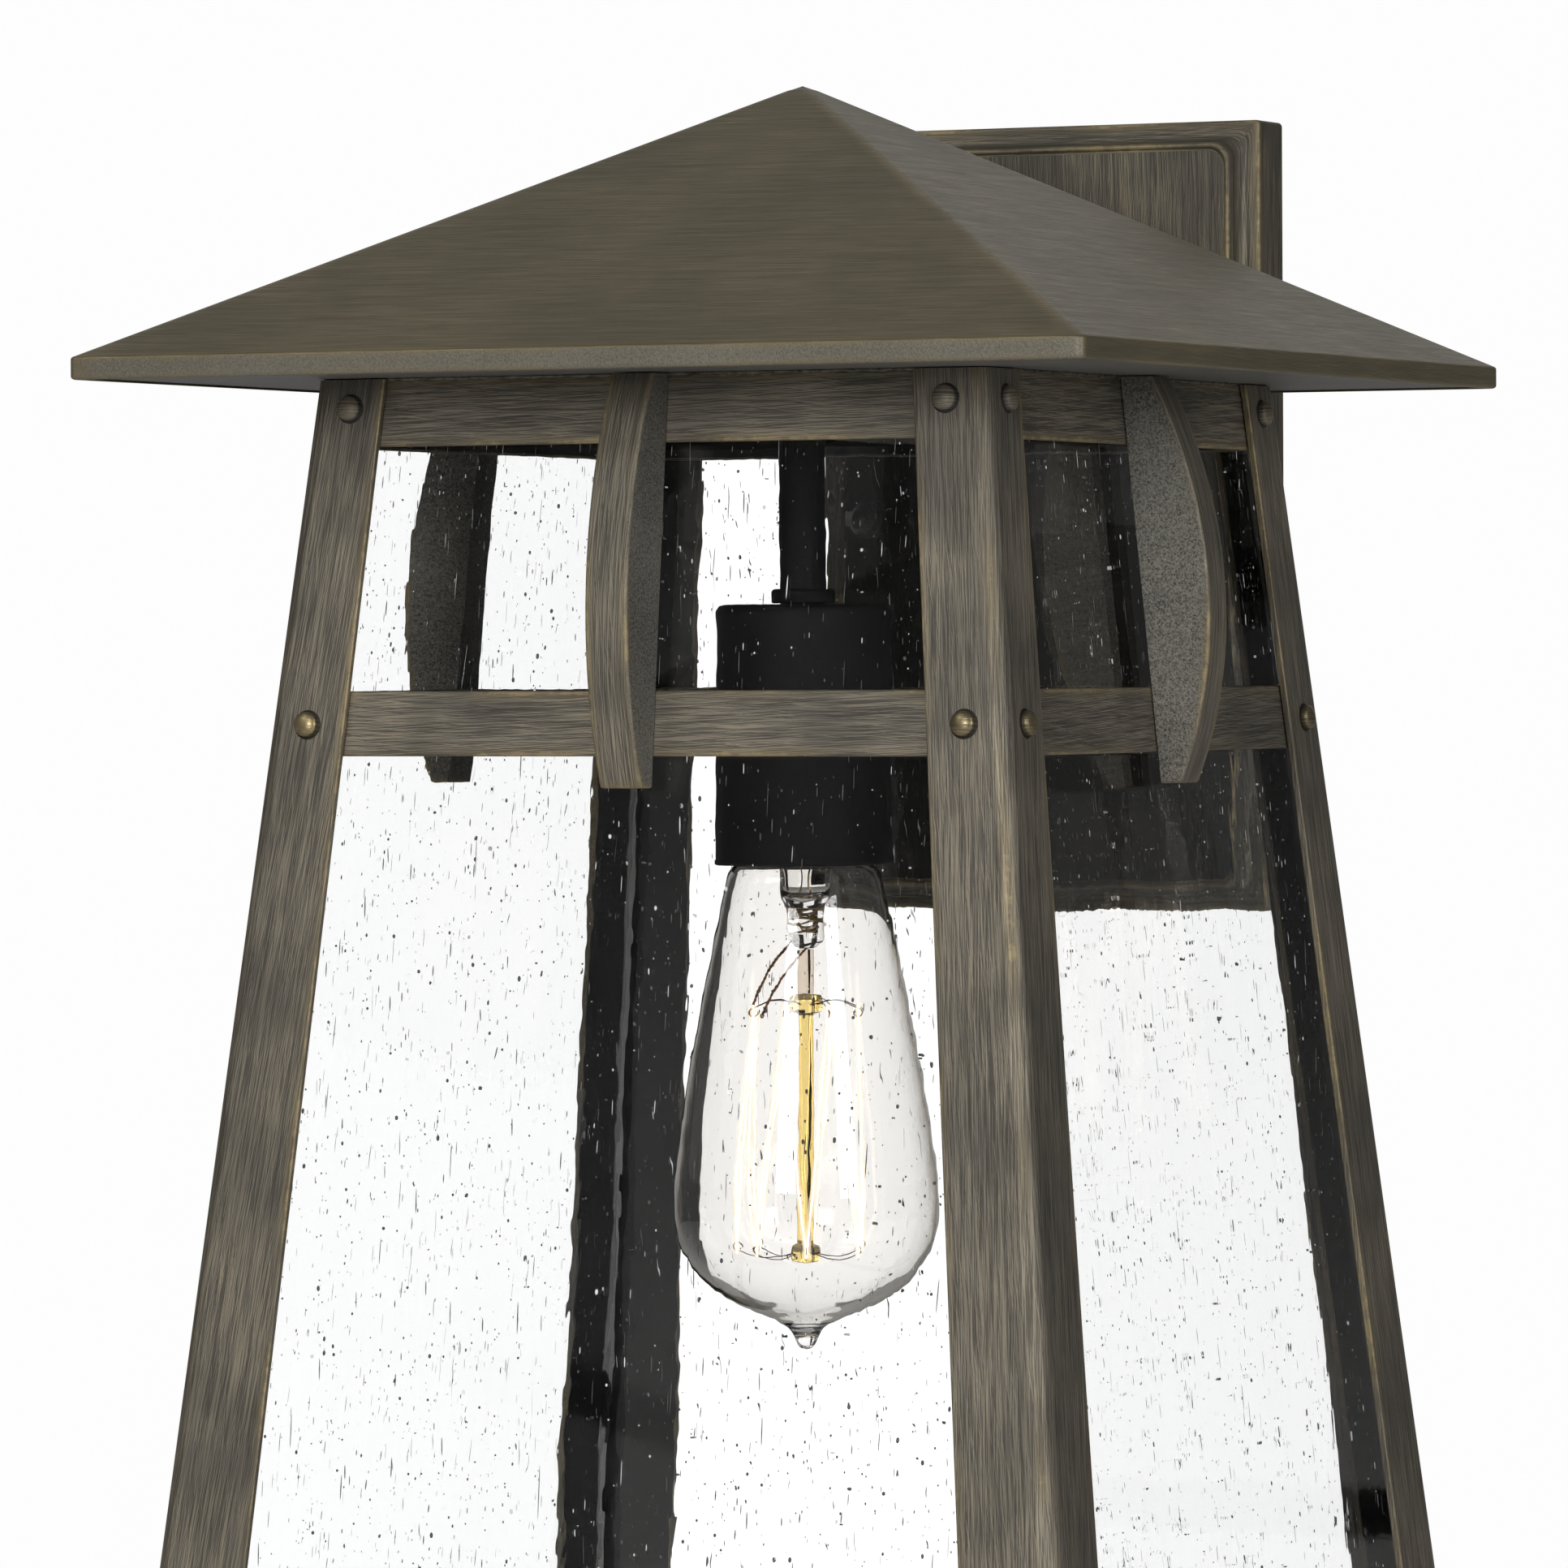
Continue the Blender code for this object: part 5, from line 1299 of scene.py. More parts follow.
@dataclass(frozen=True)
class Roof:
    """The pyramid roof: an upright fascia, rounded hips and a blunt tip, closed inside as a thin shell."""

    shape: BodyShape
    half: float = 129.0 * MM
    rise: float = 66.9 * MM
    fascia: float = 5.2 * MM
    wall: float = 1.8 * MM
    edge: float = 0.8 * MM
    corner: float = 2.0 * MM
    grain: tuple[float, float] = (0.85, 0.35)

    def build(self, palette: Palette) -> None:
        """Builds the cover, and the weld where the body meets it."""
        self.cover(palette)
        self.weld(palette)

    def profile(self) -> tuple[Array, Array, Array]:
        """The roof's section from its inner tip, round the fascia, to its outer tip.

        Returns:
            (half width, height, corner radius) for each row, the distance to a worn edge, and the
            cast mark of each span.
        """
        slope = self.rise / self.half
        drop = self.wall * math.hypot(1.0, slope)
        inner = self.half - self.wall
        e = self.edge
        quarter = np.linspace(0, math.pi / 2, 5)
        low = np.stack([self.half - e + e * np.sin(quarter), e - e * np.cos(quarter)], 1)
        lean = math.atan(slope)
        high_turn = np.linspace(0, math.pi / 2 - lean, 5)
        centre = np.array([self.half - e, self.fascia - e * math.tan((math.pi / 2 - lean) / 2)])
        high = centre + e * np.stack([np.cos(high_turn), np.sin(high_turn)], 1)
        flat = np.array([[self.half, z] for z in (e + 0.5 * MM, self.fascia / 2, self.fascia - e - 0.5 * MM)])
        share = np.array([0.004, 0.012, 0.03, 0.06, 0.12, 0.25, 0.4, 0.55, 0.7, 0.82, 0.9, 0.95, 0.975])
        start = high[-1]
        tip = np.array([0.0, self.fascia + self.rise])
        climb = start + (tip - start) * share[:, None]
        blunt = 1.5 * MM
        cap_turn = np.linspace(0.25, 1.0, 4)[:, None]
        cap = climb[-1] * (1 - cap_turn) + np.array([0.0, tip[1] - 0.35 * blunt]) * cap_turn
        inside = np.array([
            [0.0, self.fascia + self.rise - drop],
            [inner * 0.5, self.fascia + self.rise * 0.5 - drop],
            [inner, self.fascia + self.wall * slope - drop],
            [inner, 0.0],
        ])
        rows = np.concatenate([inside, low, flat, high, climb, cap])
        height = rows[:, 1]
        edge_low, edge_high = np.abs(height), np.abs(height - self.fascia)
        worn = np.minimum(edge_low, edge_high)
        worn[height > self.fascia] = np.linalg.norm(rows - start, axis=1)[height > self.fascia]
        worn[:3] = FAR
        radius = np.minimum(self.corner, rows[:, 0] * 0.9)
        cast = np.zeros(len(rows) - 1)
        cast[len(inside) : len(inside) + len(low) + len(flat) + 1] = 1.0
        return np.column_stack([rows, radius]), worn, cast

    def cover(self, palette: Palette) -> None:
        """Lays one patch for each side. Each row is a side of a rounded square of that row's size."""
        rows, worn, cast = self.profile()
        lengths = running_length(rows[:, :2])
        halves = np.maximum(rows[:, 0], TINY)
        sides = [rounded_square(h, h, max(r, TINY / 2), 3, 26) for h, r in zip(halves, rows[:, 2])]
        flat = np.stack([s[0] for s in sides])
        along = np.stack([s[1] for s in sides])
        hip = np.stack([s[2] for s in sides]) * 1.6 + 0.15 * MM
        skin = Skin()
        height = np.repeat(rows[:, 1][:, None, None], flat.shape[1], axis=1)
        points = np.concatenate([flat, height], -1) + self.shape.axis
        edge = np.minimum(worn[:, None], hip)
        for side in Side:
            moved = turn_about(points, side.value, self.shape.axis)
            strokes = np.stack([along + side.value, spread(lengths, along.shape[1])], -1)
            grain = self.grain[0] if side in (Side.FRONT, Side.LEFT) else self.grain[1]
            for row in range(len(rows) - 1):
                part = slice(row, row + 2)
                skin.add_grid(moved[part], strokes[part], edge[part], cast=cast[row] * grain)
        show("pyramid_roof", skin, palette.roof, ("roof_cover",), merge=3e-6, sharp=40.0)

    def weld(self, palette: Palette) -> None:
        """A lumpy bead round the top of the body, where it is welded to the soffit."""
        half = float(self.shape.half(0.0)) - 2.6 * MM
        skin = Skin()
        share = np.linspace(-1, 1, 150)
        wobble = 0.25 * MM * np.sin(share * 61.0) + 0.18 * MM * np.sin(share * 137.0 + 1.3)
        for side in Side:
            shift = side.value * 0.07
            path = np.stack(
                [share * half, -half - 0.5 * MM + wobble * math.cos(shift), 0.25 * MM + 0 * share], 1
            )
            radius = 0.55 * MM + 0.16 * MM * np.sin(share * 83.0 + shift) + 0.1 * MM * np.sin(share * 29.0)
            tube(
                skin, turn_about(path + self.shape.axis, side.value, self.shape.axis), radius, 8,
                (0.0, 0.1, 1.0)
            )
        show("eave_weld", skin, palette.weld)


@dataclass(frozen=True)
class Glazing:
    """Four panes of seeded glass with slow waves, and the air trapped in them."""

    shape: BodyShape
    recess: float = 5.3 * MM
    thickness: float = 3.0 * MM
    foot_lift: float = 6.0 * MM
    side_inset: float = 8.6 * MM
    arm_foot: float = 13.3 * MM
    seeds: int = 3000

    def build(self, palette: Palette) -> None:
        """Builds each pane and its seeds."""
        random = np.random.default_rng(12)
        for side in Side:
            self.pane(side, palette, random)

    def span(self, side: Side) -> Triple:
        """Depth of a pane's top and foot, and how far its ends stop short of the next side."""
        top = self.arm_foot if side is Side.BACK else self.shape.top_depth + 0.3 * MM
        inset = self.side_inset if side in (Side.LEFT, Side.RIGHT) else self.recess
        return top, self.shape.height - self.foot_lift, inset

    def pane(self, side: Side, palette: Palette, random: np.random.Generator) -> None:
        """One pane: two wavy faces a thickness apart. The waves are a sum of slow sines across and up."""
        top, foot, inset = self.span(side)
        share = np.linspace(-1, 1, 60)[None]
        depth = np.linspace(top, foot, 90)[:, None]
        across = share * (self.shape.half(depth) - inset)
        phase = side.value * 0.11
        fade = np.clip((1 - np.abs(share)) * 12, 0, 1)
        wave = np.sin(across * 95 + 3.1 * np.sin(depth * 37 + phase) + phase)
        wave = wave + 0.7 * np.sin(
            across * 171 + depth * 23 + phase * 2
        ) + 0.5 * np.sin(depth * 61 - across * 30)
        wave = wave * 0.022 * MM * fade
        skin = Skin()
        outer = self.shape.place(across, -self.recess - 0.1 * MM + wave, depth, side)
        inner = self.shape.place(
            across, -self.recess - self.thickness + 0.1 * MM + wave[::-1] * 0.6, depth, side
        )
        front = skin.add_grid(outer)
        back = skin.add_grid(inner)
        self.rim(skin, front, back)
        name = "glass_" + side.label
        show("wavy_" + name, skin, palette.pane, (name,), slot="seeded_glass", merge=0.0, sharp=30.0)
        seeds = self.seed_skin(side, random)
        show("seeds_" + side.label, seeds, palette.seeds, slot="seeded_glass", merge=0.0, sharp=80.0)

    @staticmethod
    def rim(skin: Skin, front: Array, back: Array) -> None:
        """Joins the borders of two grids with a band of quads."""

        def border(grid: Array) -> Array:
            """The grid's border points in order."""
            return np.concatenate([grid[0, :-1], grid[:-1, -1], grid[-1, :0:-1], grid[:0:-1, 0]])

        a, b = border(front), border(back)
        quads = np.stack([a, np.roll(a, -1), np.roll(b, -1), b], 1)
        skin.loops.append(quads.reshape(-1))
        skin.totals.append(np.full(len(quads), 4))
        skin.strokes.append(np.zeros((quads.size, 2)))
        skin.marks.append(np.tile([9.0, 0.0, 0.0], (quads.size, 1)))

    def seed_skin(self, side: Side, random: np.random.Generator) -> Skin:
        """Scatters round and drawn-out bubbles through the pane's thickness.

        Each bubble is a small closed spindle: rings whose radius follows the sine of the angle down
        it. Its length is drawn from a long-tailed law, so that most are dots and some are streaks.
        """
        top, foot, inset = self.span(side)
        count = self.seeds
        depth = random.uniform(top + 3 * MM, foot - 4 * MM, count)
        across = random.uniform(-1, 1, count) * (self.shape.half(depth) - inset - 3 * MM)
        deep = random.uniform(0.3, 0.7, count)
        streak = random.uniform(0, 1, count) < 0.38
        width = np.where(
            streak, random.uniform(0.08, 0.17, count), 0.11 + random.exponential(0.09, count)
        ) * MM
        width = np.minimum(width, 0.42 * MM)
        length = np.where(streak, 0.4 + random.exponential(0.75, count), 0.0) * MM
        length = np.minimum(np.maximum(length, width * random.uniform(0.9, 1.7, count)), 7 * MM)
        tilt = random.normal(0.0, 0.03, count)
        # These seeds get the painted highlight and glow.
        bright = (random.uniform(0, 1, count) < 0.16).astype(float)
        sides, rings = 6, 3
        angle = circle(sides)
        fall = np.linspace(0, math.pi, rings + 2)[1:-1]
        ring_x = np.sin(fall)[:, None] * np.cos(angle)
        ring_y = np.sin(fall)[:, None] * np.sin(angle)
        ring_z = np.cos(fall)[:, None] * np.ones(sides)
        unit = np.concatenate(
            [[[0, 0, 1]], np.stack([ring_x, ring_y, ring_z], -1).reshape(-1, 3), [[0, 0, -1]]]
        )
        x = across[:, None] + unit[None, :, 0] * width[:, None] + unit[None, :, 2] * (length * tilt)[:, None]
        middle = -self.recess - self.thickness * deep
        out = middle[:, None] + unit[None, :, 1] * width[:, None] * 0.8
        down = depth[:, None] - unit[None, :, 2] * length[:, None]
        points = self.shape.place(x, out, down, side).reshape(-1, 3)
        ring = 1 + np.arange(rings * sides).reshape(rings, sides)
        after = np.roll(ring, -1, axis=1)
        last = 1 + rings * sides
        caps = [
            np.stack([np.zeros(sides, int), ring[0], after[0]], 1),
            np.stack([np.full(sides, last), after[-1], ring[-1]], 1)
        ]
        quads = np.stack([ring[:-1], ring[1:], after[1:], after[:-1]], -1).reshape(-1, 4)
        split = np.concatenate([quads[:, [0, 1, 2]], quads[:, [0, 2, 3]]])
        faces = np.concatenate([*caps, split])
        all_faces = (faces[None] + (np.arange(count) * len(unit))[:, None, None]).reshape(-1, 3)
        marks = np.zeros((len(all_faces), 3))
        marks[:, 0] = np.repeat(bright, len(faces))
        skin = Skin()
        skin.add_faces(points, all_faces, marks)
        return skin


# ---- wall plate and arm ----
@dataclass(frozen=True)
class WallPlate:
    """The pressed plate on the wall: flat border, cove, bead and a sunk panel brushed upright."""

    half_width: float = 60.1 * MM
    half_height: float = 99.7 * MM
    rim: float = 17.0 * MM
    rise: float = 6.5 * MM
    border: float = 3.6 * MM
    cove: float = 2.0 * MM
    bead: float = 1.6 * MM
    sink: float = 0.7 * MM
    back: float = 1.8 * MM
    wall: float = 1.5 * MM
    panel_corner: float = 4.5 * MM
    # Painted shade: how black the panel is at its top and at its foot, which lies behind the lantern.
    panel_shade: tuple[float, float] = (0.1, 0.85)
    # Painted shade: how black the hollow behind the plate is.
    hollow_shade: float = 0.55
    shade_top: float = 62.0 * MM
    shade_foot: float = 32.0 * MM

    def rows(self) -> Array:
        """(inset from the outside, distance out from the wall) from the back lip to the panel."""
        top = self.rim + self.rise
        turn = np.linspace(0, math.pi / 2, 5)
        round_edge = np.stack([0.8 * MM * (1 - np.cos(turn)), self.rim - 0.8 * MM * (1 - np.sin(turn))], 1)
        hollow = np.stack(
            [self.border + self.cove * np.sin(turn), top - 1.0 * MM - (self.rise - 1.0 * MM) * np.cos(turn)],
            1
        )
        start = self.border + self.cove
        over = np.linspace(0.15, 1, 7) * math.pi
        bead = np.stack(
            [start + self.bead * (1 - np.cos(over)) / 2, top - 0.9 * MM + 0.9 * MM * np.sin(over)], 1
        )
        bead[-1, 1] = top - self.sink
        lip = np.array(
            [[0.0, self.back], [0.0, self.back + 1 * MM], [0.0, self.rim / 2], [0.0, self.rim - 1.4 * MM]]
        )
        flat = np.array(
            [[1.3 * MM, self.rim], [self.border / 2, self.rim], [self.border - 0.3 * MM, self.rim]]
        )
        foot = np.array([[start + self.bead + 0.5 * MM, top - self.sink]])
        return np.concatenate([lip, round_edge, flat, hollow, bead, foot])

    def build(self, palette: Palette) -> None:
        """Four sides of nested rounded rectangles, a brushed panel inside them, and the hollow behind."""
        rows = self.rows()
        skin = Skin()
        lengths = running_length(rows)
        top = self.rim + self.rise
        crest = np.abs(rows[:, 0] - (self.border + self.cove + self.bead / 2))
        outer_edge = np.linalg.norm(rows - [0.3 * MM, self.rim - 0.3 * MM], axis=1)
        worn = np.minimum(outer_edge, np.where(rows[:, 1] > top - 0.9 * MM, crest * 0.6, FAR))
        shares = np.clip(rows[:, 0] / (self.border + self.cove), 0, 1)
        radius = 1.2 * MM + (self.panel_corner - 1.2 * MM) * shares
        for number, side in enumerate(Side):
            parts = [self.edge_line(side, inset, r) for (inset, _), r in zip(rows, radius)]
            flat = np.stack([p[0] for p in parts])
            along = np.stack([p[1] for p in parts])
            points = self.stand_up(flat, rows[:, 1][:, None] + 0 * along, side)
            strokes = np.stack([along + number, spread(lengths, along.shape[1])], -1)
            skin.add_grid(points, strokes, spread(worn, along.shape[1]))
        self.panel(skin, float(rows[-1, 0]), float(rows[-1, 1]), float(radius[-1]))
        self.hollow(skin)
        show("stepped_wall_plate", skin, palette.plate, ("wall_plate",), merge=2e-6, sharp=40.0)

    def edge_line(self, side: Side, inset: float, radius: float) -> tuple[Array, Array, Array]:
        """One side of the rounded rectangle at an inset, as rounded_square gives it."""
        half_x, half_y = self.half_width - inset, self.half_height - inset
        if side in (Side.LEFT, Side.RIGHT):
            half_x, half_y = half_y, half_x
        return rounded_square(half_x, half_y, radius, 4, 16)

    @staticmethod
    def stand_up(flat: Array, out: Array, side: Side) -> Array:
        """Turns a side drawn facing -Y to its place round the plate, and stands the plate on the wall."""
        angle = math.radians(side.value)
        c, s = math.cos(angle), math.sin(angle)
        x = flat[..., 0] * c - flat[..., 1] * s
        z = flat[..., 0] * s + flat[..., 1] * c
        return np.stack([x, -out, z], -1)

    def ring(self, inset: float, out: float, radius: float) -> tuple[Array, Array]:
        """The whole rounded rectangle at an inset: its flat places and its points."""
        flats, points = [], []
        for side in Side:
            flat = self.edge_line(side, inset, radius)[0][:-1]
            place = self.stand_up(flat, np.full(len(flat), out), side)
            points.append(place)
            flats.append(place[:, [2, 0]])
        return np.concatenate(flats), np.concatenate(points)

    def panel(self, skin: Skin, inset: float, out: float, radius: float) -> None:
        """Fills the middle with shrinking rings, strokes upright, with painted shade that darkens it towards
        the foot, behind the lantern.
        """
        flat, points = self.ring(inset, out, radius)
        shares = np.array([1.0, 0.985, 0.96, 0.9, 0.8, 0.7, 0.6, 0.5, 0.4, 0.3, 0.2, 0.1, 0.02])
        shares = shares[:, None, None]
        middle = np.array([0.0, -out, 0.0])
        grid = middle + (points - middle)[None] * shares
        strokes = flat[None] * shares
        closed = np.concatenate([strokes, strokes[:, :1]], axis=1)
        # Painted shade: black grows from shade_top down to shade_foot, behind the lantern.
        height = np.clip((grid[:-1, :, 2] - self.shade_foot) / (self.shade_top - self.shade_foot), 0, 1)
        dark = self.panel_shade[1] + (self.panel_shade[0] - self.panel_shade[1]) * height
        index = skin.add_grid(grid, closed, inside=dark, wrap=True)
        skin.add_cap(index[-1], strokes[-1], 9.0, inside=self.panel_shade[1])

    def hollow(self, skin: Skin) -> None:
        """The inner faces, seen only from the wall side, partly black as painted shade."""
        inner = self.wall
        step = self.border + self.cove + self.bead
        front = self.rim + self.rise - self.sink - self.wall
        spots = [
            (0.0, self.back, 1.2), (inner, self.back, 1.0), (inner, self.rim - inner, 1.0),
            (step, self.rim - inner, 4.5), (step, front, 4.5)
        ]
        rings = [self.ring(i, o, r * MM) for i, o, r in spots]
        grid = np.stack([r[1] for r in rings])
        flat = np.stack([r[0] for r in rings])
        closed = np.concatenate([flat, flat[:, :1]], axis=1)
        index = skin.add_grid(grid, closed, inside=self.hollow_shade, wrap=True)
        skin.add_cap(index[-1], flat[-1], 9.0, inside=self.hollow_shade)


@dataclass(frozen=True)
class Arm:
    """The rectangular tube between the plate and the body, with its fillet of weld on the panel."""

    shape: BodyShape
    width: float = 30.0 * MM
    height: float = 12.6 * MM
    wall: float = 1.8 * MM
    flange: float = 2.0 * MM

    def build(self, palette: Palette) -> None:
        """Carries the hollow section from behind the panel to its end over the lampholder."""
        low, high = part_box("wall_arm")
        level = (low.z + high.z) / 2
        half_w, half_h, wall = self.width / 2, self.height / 2, self.wall
        plain, all_worn = [0.0] * 4, [True] * 4
        corners = rectangle(-half_w, -half_h, half_w, half_h)
        outer = rounded_outline(corners, [1.6 * MM] * 4, all_worn, plain, plain)
        corners = rectangle(wall - half_w, wall - half_h, half_w - wall, half_h - wall)
        inner = rounded_outline(corners, [0.8 * MM] * 4, [False] * 4, plain, [1.0] * 4)
        corners = rectangle(low.x, low.z - level, high.x, high.z - level)
        flange = rounded_outline(corners, [0.8 * MM] * 4, all_worn, plain, plain)
        back, plate, end = high.y, high.y - self.flange, low.y
        stations = [
            (inner, back), (flange, back), (flange, plate), (outer, plate), (outer, (plate + end) / 2),
            (outer, end), (inner, end)
        ]
        points = np.stack([
            np.column_stack([o.points[:, 0], np.full(len(o.points), y), o.points[:, 1] + level])
            for o, y in stations
        ])
        closed = np.concatenate([points, points[:1]])
        run = np.array([y for _, y in [*stations, stations[0]]])[:, None]
        strokes = np.stack(np.broadcast_arrays(run, outer.around[None]), -1)
        edge = np.stack([o.edge for o, _ in [*stations, stations[0]]])
        skin = Skin()
        skin.add_grid(closed, strokes, edge, wrap=True)
        show("square_wall_arm", skin, palette.member, ("wall_arm",), sharp=30.0)


# ---- lampholder and lamp ----
# The lamp's outlines, each (radius, depth below the eave), in millimetres.
TEARDROP = (
    (12.2, 99.2), (12.3, 106.0), (12.9, 110.6), (14.9, 113.8), (17.4, 116.4), (19.0, 120.5),
    (20.9, 129.5), (23.2, 141.0), (26.0, 155.5), (28.3, 167.3), (30.1, 178.5), (31.7, 191.0),
    (32.0, 197.9), (31.6, 202.5), (30.2, 207.6), (28.0, 211.6), (24.6, 215.6), (19.5, 219.4),
    (13.5, 222.4), (8.4, 224.4), (5.2, 226.0), (3.4, 228.0), (2.5, 229.8), (1.9, 231.0),
)
STEM = (
    (11.0, 100.2), (9.2, 102.5), (7.6, 106.0), (6.6, 111.0), (6.2, 117.0), (6.1, 122.0),
    (5.6, 124.6), (4.9, 126.0), (4.6, 128.0), (4.7, 131.6), (4.4, 133.6), (3.0, 135.0),
    (1.9, 135.6),
)
STEM_BORE = (
    (10.1, 100.2), (8.0, 103.4), (6.4, 107.5), (5.5, 112.0), (5.2, 118.0), (4.6, 122.4),
    (0.0, 124.0),
)


@dataclass(frozen=True)
class Lampholder:
    """The black stem, collar and cup, turned."""

    shape: BodyShape
    cup_top: float = 52.9 * MM
    cup_height: float = 62.5 * MM
    cup_radius: float = 21.1 * MM
    cup_wall: float = 1.2 * MM
    stem_radius: float = 5.45 * MM
    stem_bore: float = 3.9 * MM

    def build(self, palette: Palette) -> None:
        """Builds the cup, the collar on top of it and the stem."""
        axis = self.shape.axis
        top, low = -self.cup_top, -self.cup_top - self.cup_height
        turn = np.linspace(0, math.pi / 2, 8)
        r, wall, soft = self.cup_radius, self.cup_wall, 1.9 * MM
        shoulder = np.stack([r - soft + soft * np.sin(turn), top - soft + soft * np.cos(turn)], 1)
        hole = self.stem_radius + 0.3 * MM
        profile = np.concatenate([
            [[hole, top], [r * 0.6, top]], shoulder, [[r, (top + low) / 2], [r, low + 1.3 * MM]],
            [
                [r + 0.28 * MM, low + 0.9 * MM], [r + 0.3 * MM, low + 0.5 * MM],
                [r + 0.2 * MM, low + 0.12 * MM]
            ],
            [[r - 0.1 * MM, low], [r - wall + 0.2 * MM, low], [r - wall, low + 0.2 * MM]],
            [[r - wall, top - wall - 1.0 * MM], [r - wall - 1.0 * MM, top - wall]],
            [[hole, top - wall], [hole, top]],
        ])
        paint = {"material": palette.black, "slot": "black_paint"}
        show_turned("turned_cup", [profile], axis, 72, nodes=("socket_cup",), sharp=35.0, **paint)
        low_collar = top + 0.3 * MM
        high_collar = low_collar + 3.4 * MM
        c, soft = 7.6 * MM, 1.0 * MM
        edge = np.stack([c - soft + soft * np.sin(turn), high_collar - soft + soft * np.cos(turn)], 1)
        foot = [[c, low_collar + 0.3 * MM], [c - 0.3 * MM, low_collar], [hole, low_collar]]
        profile = np.concatenate([[[hole, high_collar]], edge, foot, [[hole, high_collar]]])
        show_turned("turned_collar", [profile], axis, 48, nodes=("stem_collar",), sharp=35.0, **paint)
        low_box, high_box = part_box("stem_tube")
        stem_top, stem_low = high_box.z - axis[2], low_box.z - axis[2]
        a, b, chamfer = self.stem_radius, self.stem_bore, 0.4 * MM
        profile = np.array([
            [b, stem_top], [a - chamfer, stem_top], [a, stem_top - chamfer], [a, stem_low + chamfer],
            [a - chamfer, stem_low], [b, stem_low], [b, stem_top],
        ])
        show_turned("turned_stem", [profile], axis, 40, nodes=("stem_tube",), sharp=30.0, **paint)


